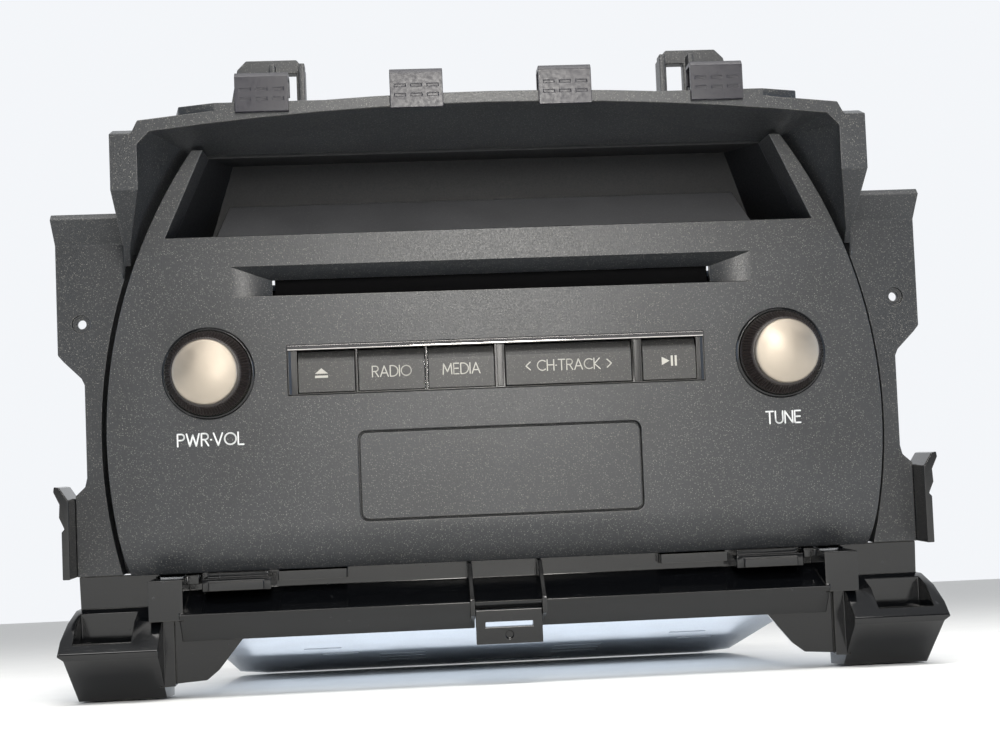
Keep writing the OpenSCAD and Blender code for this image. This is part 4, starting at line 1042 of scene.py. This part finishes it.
@dataclass
class Screws:
    """The bracket screws: pan heads with a cross recess, in place of the plain CAD ones."""

    head_r: float = 3.2
    head_h: float = 1.9
    rim_h: float = 0.7
    crown_r: float = 2.1
    crown_rings: int = 5
    chamfer: float = 0.1
    shank_r: float = 1.6
    tip_h: float = 0.5
    tip_share: float = 0.7
    arm: float = 1.7
    arm_half: float = 0.36
    recess: float = 1.2
    recess_flare: float = 0.06
    recess_share: float = 0.75
    steps: int = 64
    slack: float = 0.5
    weld_m: float = 2e-6

    def build(self, face: Axes, chassis: Axes) -> None:
        """Builds every screw of the group as one piece.

        Args:
            face: the panel's axes.
            chassis: the chassis's axes.
        """
        buffer = MeshBuffer()
        for spots in self.separate("bracket_screws"):
            self.screw(buffer, face, chassis, spots)
        piece = new_piece("bracket_screws_cross", buffer.verts, buffer.faces, Matrix.Identity(4), 30)
        finish_piece(piece, "radio_body", PAINTS.for_slot("steel"), ["bracket_screws"])

    def separate(self, node: str) -> list[list[Vector]]:
        """Sorts a CAD node's points by the solid that they belong to.

        Args:
            node: the node's name.

        Returns:
            The points of each solid, in the order of the solids' first points.
        """
        work = bmesh.new()
        work.from_mesh(frame["nodes"][node].data)
        bmesh.ops.remove_doubles(work, verts=work.verts, dist=self.weld_m)
        work.verts.index_update()
        seen: set[int] = set()
        groups: list[list[Vector]] = []
        for first in work.verts:
            if first.index in seen:
                continue
            seen.add(first.index)
            stack = [first]
            group: list[Vector] = []
            while stack:
                vert = stack.pop()
                group.append(vert.co.copy())
                for edge in vert.link_edges:
                    near = edge.other_vert(vert)
                    if near.index not in seen:
                        seen.add(near.index)
                        stack.append(near)
            groups.append(group)
        work.free()
        return groups

    def screw(self, buffer: MeshBuffer, face: Axes, chassis: Axes, spots: Sequence[Vector]) -> None:
        """Builds one screw where the CAD one stands.

        Args:
            buffer: where the mesh goes.
            face: the panel's axes.
            chassis: the chassis's axes.
            spots: the CAD screw's points.
        """
        middle = sum(spots, Vector()) / len(spots)
        outward = Vector((math.copysign(1.0, middle.x), 0.0, 0.0))
        reach = max(s.x for s in spots) - min(s.x for s in spots)
        # A screw that reaches no further sideways than its head is wide doesn't lie sideways
        if reach / MM < 2 * self.head_r + self.slack:
            outward = face.inward
        heights = [s.dot(outward) for s in spots]
        top = max(heights)
        length = (top - min(heights)) / MM
        side = chassis.inward if abs(outward.x) > 0.5 else face.right
        ring = [s for s in spots if s.dot(outward) > top - 1e-6]
        tip = sum(ring, Vector()) / len(ring)
        local = MeshBuffer()
        local.loft(self.rings(length), (0.0, 0.0, 0.0))
        turn = Matrix((side, -outward, side.cross(outward))).transposed()
        start = tip - outward * length * MM
        buffer.add([tuple(start + turn @ Vector(v)) for v in local.verts], local.faces)

    def rings(self, length: float) -> list[tuple[list[float], float]]:
        """Shapes one screw.

        Args:
            length: its whole length.

        Returns:
            The radii and the height of each ring, from the tip of the shank to the floor of the
            recess.
        """
        seat = length - self.head_h - self.chamfer
        rim = seat + self.rim_h
        plain = [(self.shank_r * self.tip_share, 0.0), (self.shank_r, self.tip_h),
            (self.shank_r, seat), (self.head_r - self.chamfer, seat),
            (self.head_r, seat + self.chamfer), (self.head_r, rim)]
        lean = math.pi / 2 / self.crown_rings
        plain += [(self.crown_r + (self.head_r - self.crown_r) * math.cos(lean * k),
            rim + (length - rim) * math.sin(lean * k)) for k in range(1, self.crown_rings + 1)]
        cross = [self.cross(2 * math.pi * k / self.steps) for k in range(self.steps)]
        rings = [([radius] * self.steps, height) for radius, height in plain]
        rings.append(([r + self.recess_flare for r in cross], length))
        rings.append((cross, length - self.chamfer))
        rings.append(([r * self.recess_share for r in cross], length - self.recess))
        return rings

    def cross(self, angle: float) -> float:
        """Measures the cross recess.

        Args:
            angle: a direction from its middle, in radians.

        Returns:
            How far it reaches that way.
        """
        tiny = 1e-6
        along = max(abs(math.cos(angle)), tiny)
        across = max(abs(math.sin(angle)), tiny)
        flat = min(self.arm / along, self.arm_half / across)
        upright = min(self.arm / across, self.arm_half / along)
        return max(flat, upright)


@dataclass
class FoamSeals:
    """Foam strips that close the gaps between the panel's lower corners and the rail."""

    inner_x: float = 80.0
    outer_x: float = 99.0
    low_z: float = -66.0
    high_z: float = -55.0
    thick: float = 2.0
    behind: float = 1.0
    chamfer: float = 0.3
    # Closed-cell foam, cut from sheet: dull black, its cut cells swallow the light
    foam: Finish = Finish("closed_cell_foam", "#0b0b0c", 0.9, grain_mm=0.6, grain_depth_mm=0.1)

    def build(self, face: Axes) -> None:
        """Builds one strip at each side, just behind the panel.

        Args:
            face: the panel's axes.
        """
        back = face.extent("faceplate")[1].y + self.behind
        buffer = MeshBuffer()
        for x0, x1 in ((-self.outer_x, -self.inner_x), (self.inner_x, self.outer_x)):
            buffer.box((x0, back, self.low_z), (x1, back + self.thick, self.high_z), self.chamfer)
        piece = new_piece("corner_seals", buffer.verts, buffer.faces, face.matrix())
        finish_piece(piece, "radio_body", PAINTS.get(self.foam))


@dataclass
class RearContacts:
    """Contacts inside the rear sockets: blades for the plugs and pins for the aerials."""

    wall: float = 2.0
    socket_w: float = 16.0
    socket_h: float = 14.0
    blades: int = 4
    blade_rows: tuple[float, float] = (0.25, 0.72)
    blade_half: float = 0.9
    blade_thick: float = 0.35
    blade_root: float = 12.5
    blade_length: float = 9.1
    aerial_inset: float = 5.0
    pin_r: float = 0.6
    pin_length: float = 10.5
    pin_end: float = 2.5
    nose_h: float = 0.8
    nose_share: float = 0.6
    pin_steps: int = 16

    def build(self, chassis: Axes) -> None:
        """Builds the blades in both plug sockets and a pin in each aerial socket.

        Args:
            chassis: the chassis's axes.
        """
        low, high = chassis.extent("rear_connector")
        buffer = MeshBuffer()
        root = high.y - self.blade_root
        for start in (low.x + self.wall, high.x - self.wall - self.socket_w):
            for k in range(self.blades):
                x = start + self.socket_w * (k + 0.5) / self.blades
                for row in self.blade_rows:
                    z = high.z - self.wall - self.socket_h * row
                    buffer.box((x - self.blade_half, root, z - self.blade_thick),
                        (x + self.blade_half, root + self.blade_length, z + self.blade_thick))
        low, high = chassis.extent("antenna_sockets")
        pin = [(self.pin_r * self.nose_share, -self.nose_h), (self.pin_r, 0.0),
            (self.pin_r, self.pin_length)]
        for x in (low.x + self.aerial_inset, high.x - self.aerial_inset):
            centre = (x, high.y - self.pin_end, (low.z + high.z) / 2)
            buffer.loft([([radius] * self.pin_steps, height) for radius, height in pin], centre)
        piece = new_piece("rear_contacts", buffer.verts, buffer.faces, chassis.matrix(), 40)
        finish_piece(piece, "radio_body", PAINTS.get(TIN))


@dataclass(frozen=True)
class SoftBox:
    """A rectangular lamp, in the panel's axes: sizes in millimetres, power in watts."""

    name: str
    place: Point3
    aim: Point3
    size: Point2
    power: float
    tint: Point3


@dataclass
class Studio:
    """Floor, light and camera.  The lamps are hidden from the camera."""

    lens_mm: float = 57.6
    sensor_mm: float = 36.0
    clip_m: Point2 = (0.01, 200.0)
    camera_at: Point3 = (-25.6, -445.4, -26.1)
    aim: Point3 = (0.6, 0.0, -3.4)
    roll_deg: float = 2.3
    floor_half_m: float = 40.0
    # The floor lies this far below the feet, so that the two don't share a plane
    floor_gap_m: float = 0.0004
    # Uncoated paper: pale, matt and nearly even
    paper: Finish = Finish("studio_paper", "#f4f4f2", 0.9, grain_mm=1.2, grain_depth_mm=0.01,
        shade_spread=0.02)
    front_glow: float = 0.2
    back_glow: float = 0.95
    # Where the glow starts and stops growing, from -1 in front of the radio to 1 behind it
    glow_reach: Point2 = (-0.4, 0.5)
    sky: tuple[float, ...] = (0.95, 0.97, 1.0, 1.0)
    boxes: tuple[SoftBox, ...] = (
        SoftBox("front_soft_box", (25, -500, 160), (25, 0, 0), (90, 300), 2.2, (1.0, 0.97, 0.92)),
        SoftBox("top_soft_box", (0, -200, 640), (0, 10, 0), (600, 400), 5.5, (1.0, 0.98, 0.95)),
        SoftBox("low_soft_box", (20, -520, -72), (0, 0, -70), (520, 24), 0.5, (0.92, 0.96, 1.0)),
        SoftBox("right_soft_box", (620, -200, 60), (0, 10, 0), (200, 400), 0.8, (0.55, 0.72, 1.0)),
        SoftBox("left_soft_box", (-640, -200, 120), (0, 10, 0), (200, 400), 0.6, (0.6, 0.76, 1.0)),
        SoftBox("under_fill", (0, 50, -84), (0, 60, -20), (160, 90), 0.045, (0.92, 0.96, 1.0)),
    )

    def build(self, face: Axes) -> None:
        """Sets up the whole studio.

        Args:
            face: the panel's axes.
        """
        self.camera(face)
        self.floor()
        self.world()
        for box in self.boxes:
            self.hang(box, face)

    def camera(self, face: Axes) -> None:
        """Places the camera in front of the panel, a little left of its middle.

        Args:
            face: the panel's axes.
        """
        data = bpy.data.cameras.new("camera")
        data.lens = self.lens_mm
        data.sensor_width = self.sensor_mm
        data.clip_start, data.clip_end = self.clip_m
        camera = bpy.data.objects.new("camera", data)
        bpy.context.scene.collection.objects.link(camera)
        place = face.point(*self.camera_at)
        forward = (face.point(*self.aim) - place).normalized()
        level = (face.up - forward * face.up.dot(forward)).normalized()
        up = Matrix.Rotation(math.radians(self.roll_deg), 3, forward) @ level
        right = forward.cross(up)
        turn = Matrix((right, up, -forward)).transposed().to_4x4()
        camera.matrix_world = Matrix.Translation(place) @ turn
        bpy.context.scene.camera = camera
        bpy.context.scene.view_settings.view_transform = "Standard"

    def floor(self) -> None:
        """Lays a plain pale floor under the radio."""
        half = self.floor_half_m
        floor = new_piece("floor", [(-half, -half, 0), (half, -half, 0), (half, half, 0),
            (-half, half, 0)], [(0, 1, 2, 3)], Matrix.Identity(4))
        floor.location.z = -self.floor_gap_m
        floor.data.materials.append(PAINTS.get(self.paper))

    def world(self) -> None:
        """Surrounds the scene with pale light: a bright backdrop behind, a dimmer room in front."""
        world = bpy.data.worlds.new("studio")
        world.use_nodes = True
        tree = world.node_tree
        tree.nodes.clear()
        way = add_node(tree, "TexCoord", {}).outputs["Generated"]
        axes = add_node(tree, "SeparateXYZ", {}, {"Vector": way})
        start, stop = self.glow_reach
        strength = add_node(tree, "MapRange", {"From Min": start, "From Max": stop,
            "To Min": self.front_glow, "To Max": self.back_glow}, {"Value": axes.outputs["Y"]})
        glow = add_node(tree, "Background", {"Color": self.sky},
            {"Strength": strength.outputs["Result"]})
        add_node(tree, "OutputWorld", {}, {"Surface": glow.outputs["Background"]})
        bpy.context.scene.world = world

    def hang(self, box: SoftBox, face: Axes) -> None:
        """Hangs one lamp.

        Args:
            box: the lamp.
            face: the panel's axes.
        """
        data = bpy.data.lights.new(box.name, "AREA")
        data.shape = "RECTANGLE"
        data.size, data.size_y = (side * MM for side in box.size)
        data.energy = box.power
        data.color = box.tint
        lamp = bpy.data.objects.new(box.name, data)
        lamp.visible_camera = False
        bpy.context.scene.collection.objects.link(lamp)
        lamp.location = face.point(*box.place)
        aim = face.point(*box.aim) - lamp.location
        lamp.rotation_euler = aim.to_track_quat("-Z", "Y").to_euler()


def main() -> None:
    """Builds the looks in order and reports each piece."""
    logging.basicConfig(level=logging.INFO, format="%(name)s %(message)s")
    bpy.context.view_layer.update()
    face = face_axes()
    chassis = chassis_axes()
    Studio().build(face)
    CadPieces().dress()
    Knob("volume", "volume_knob").build(face)
    Knob("tune", "tune_knob").build(face)
    KeyBar().build(face)
    Screws().build(face, chassis)
    FoamSeals().build(face)
    RearContacts().build(chassis)


if __name__ == "__main__":
    main()
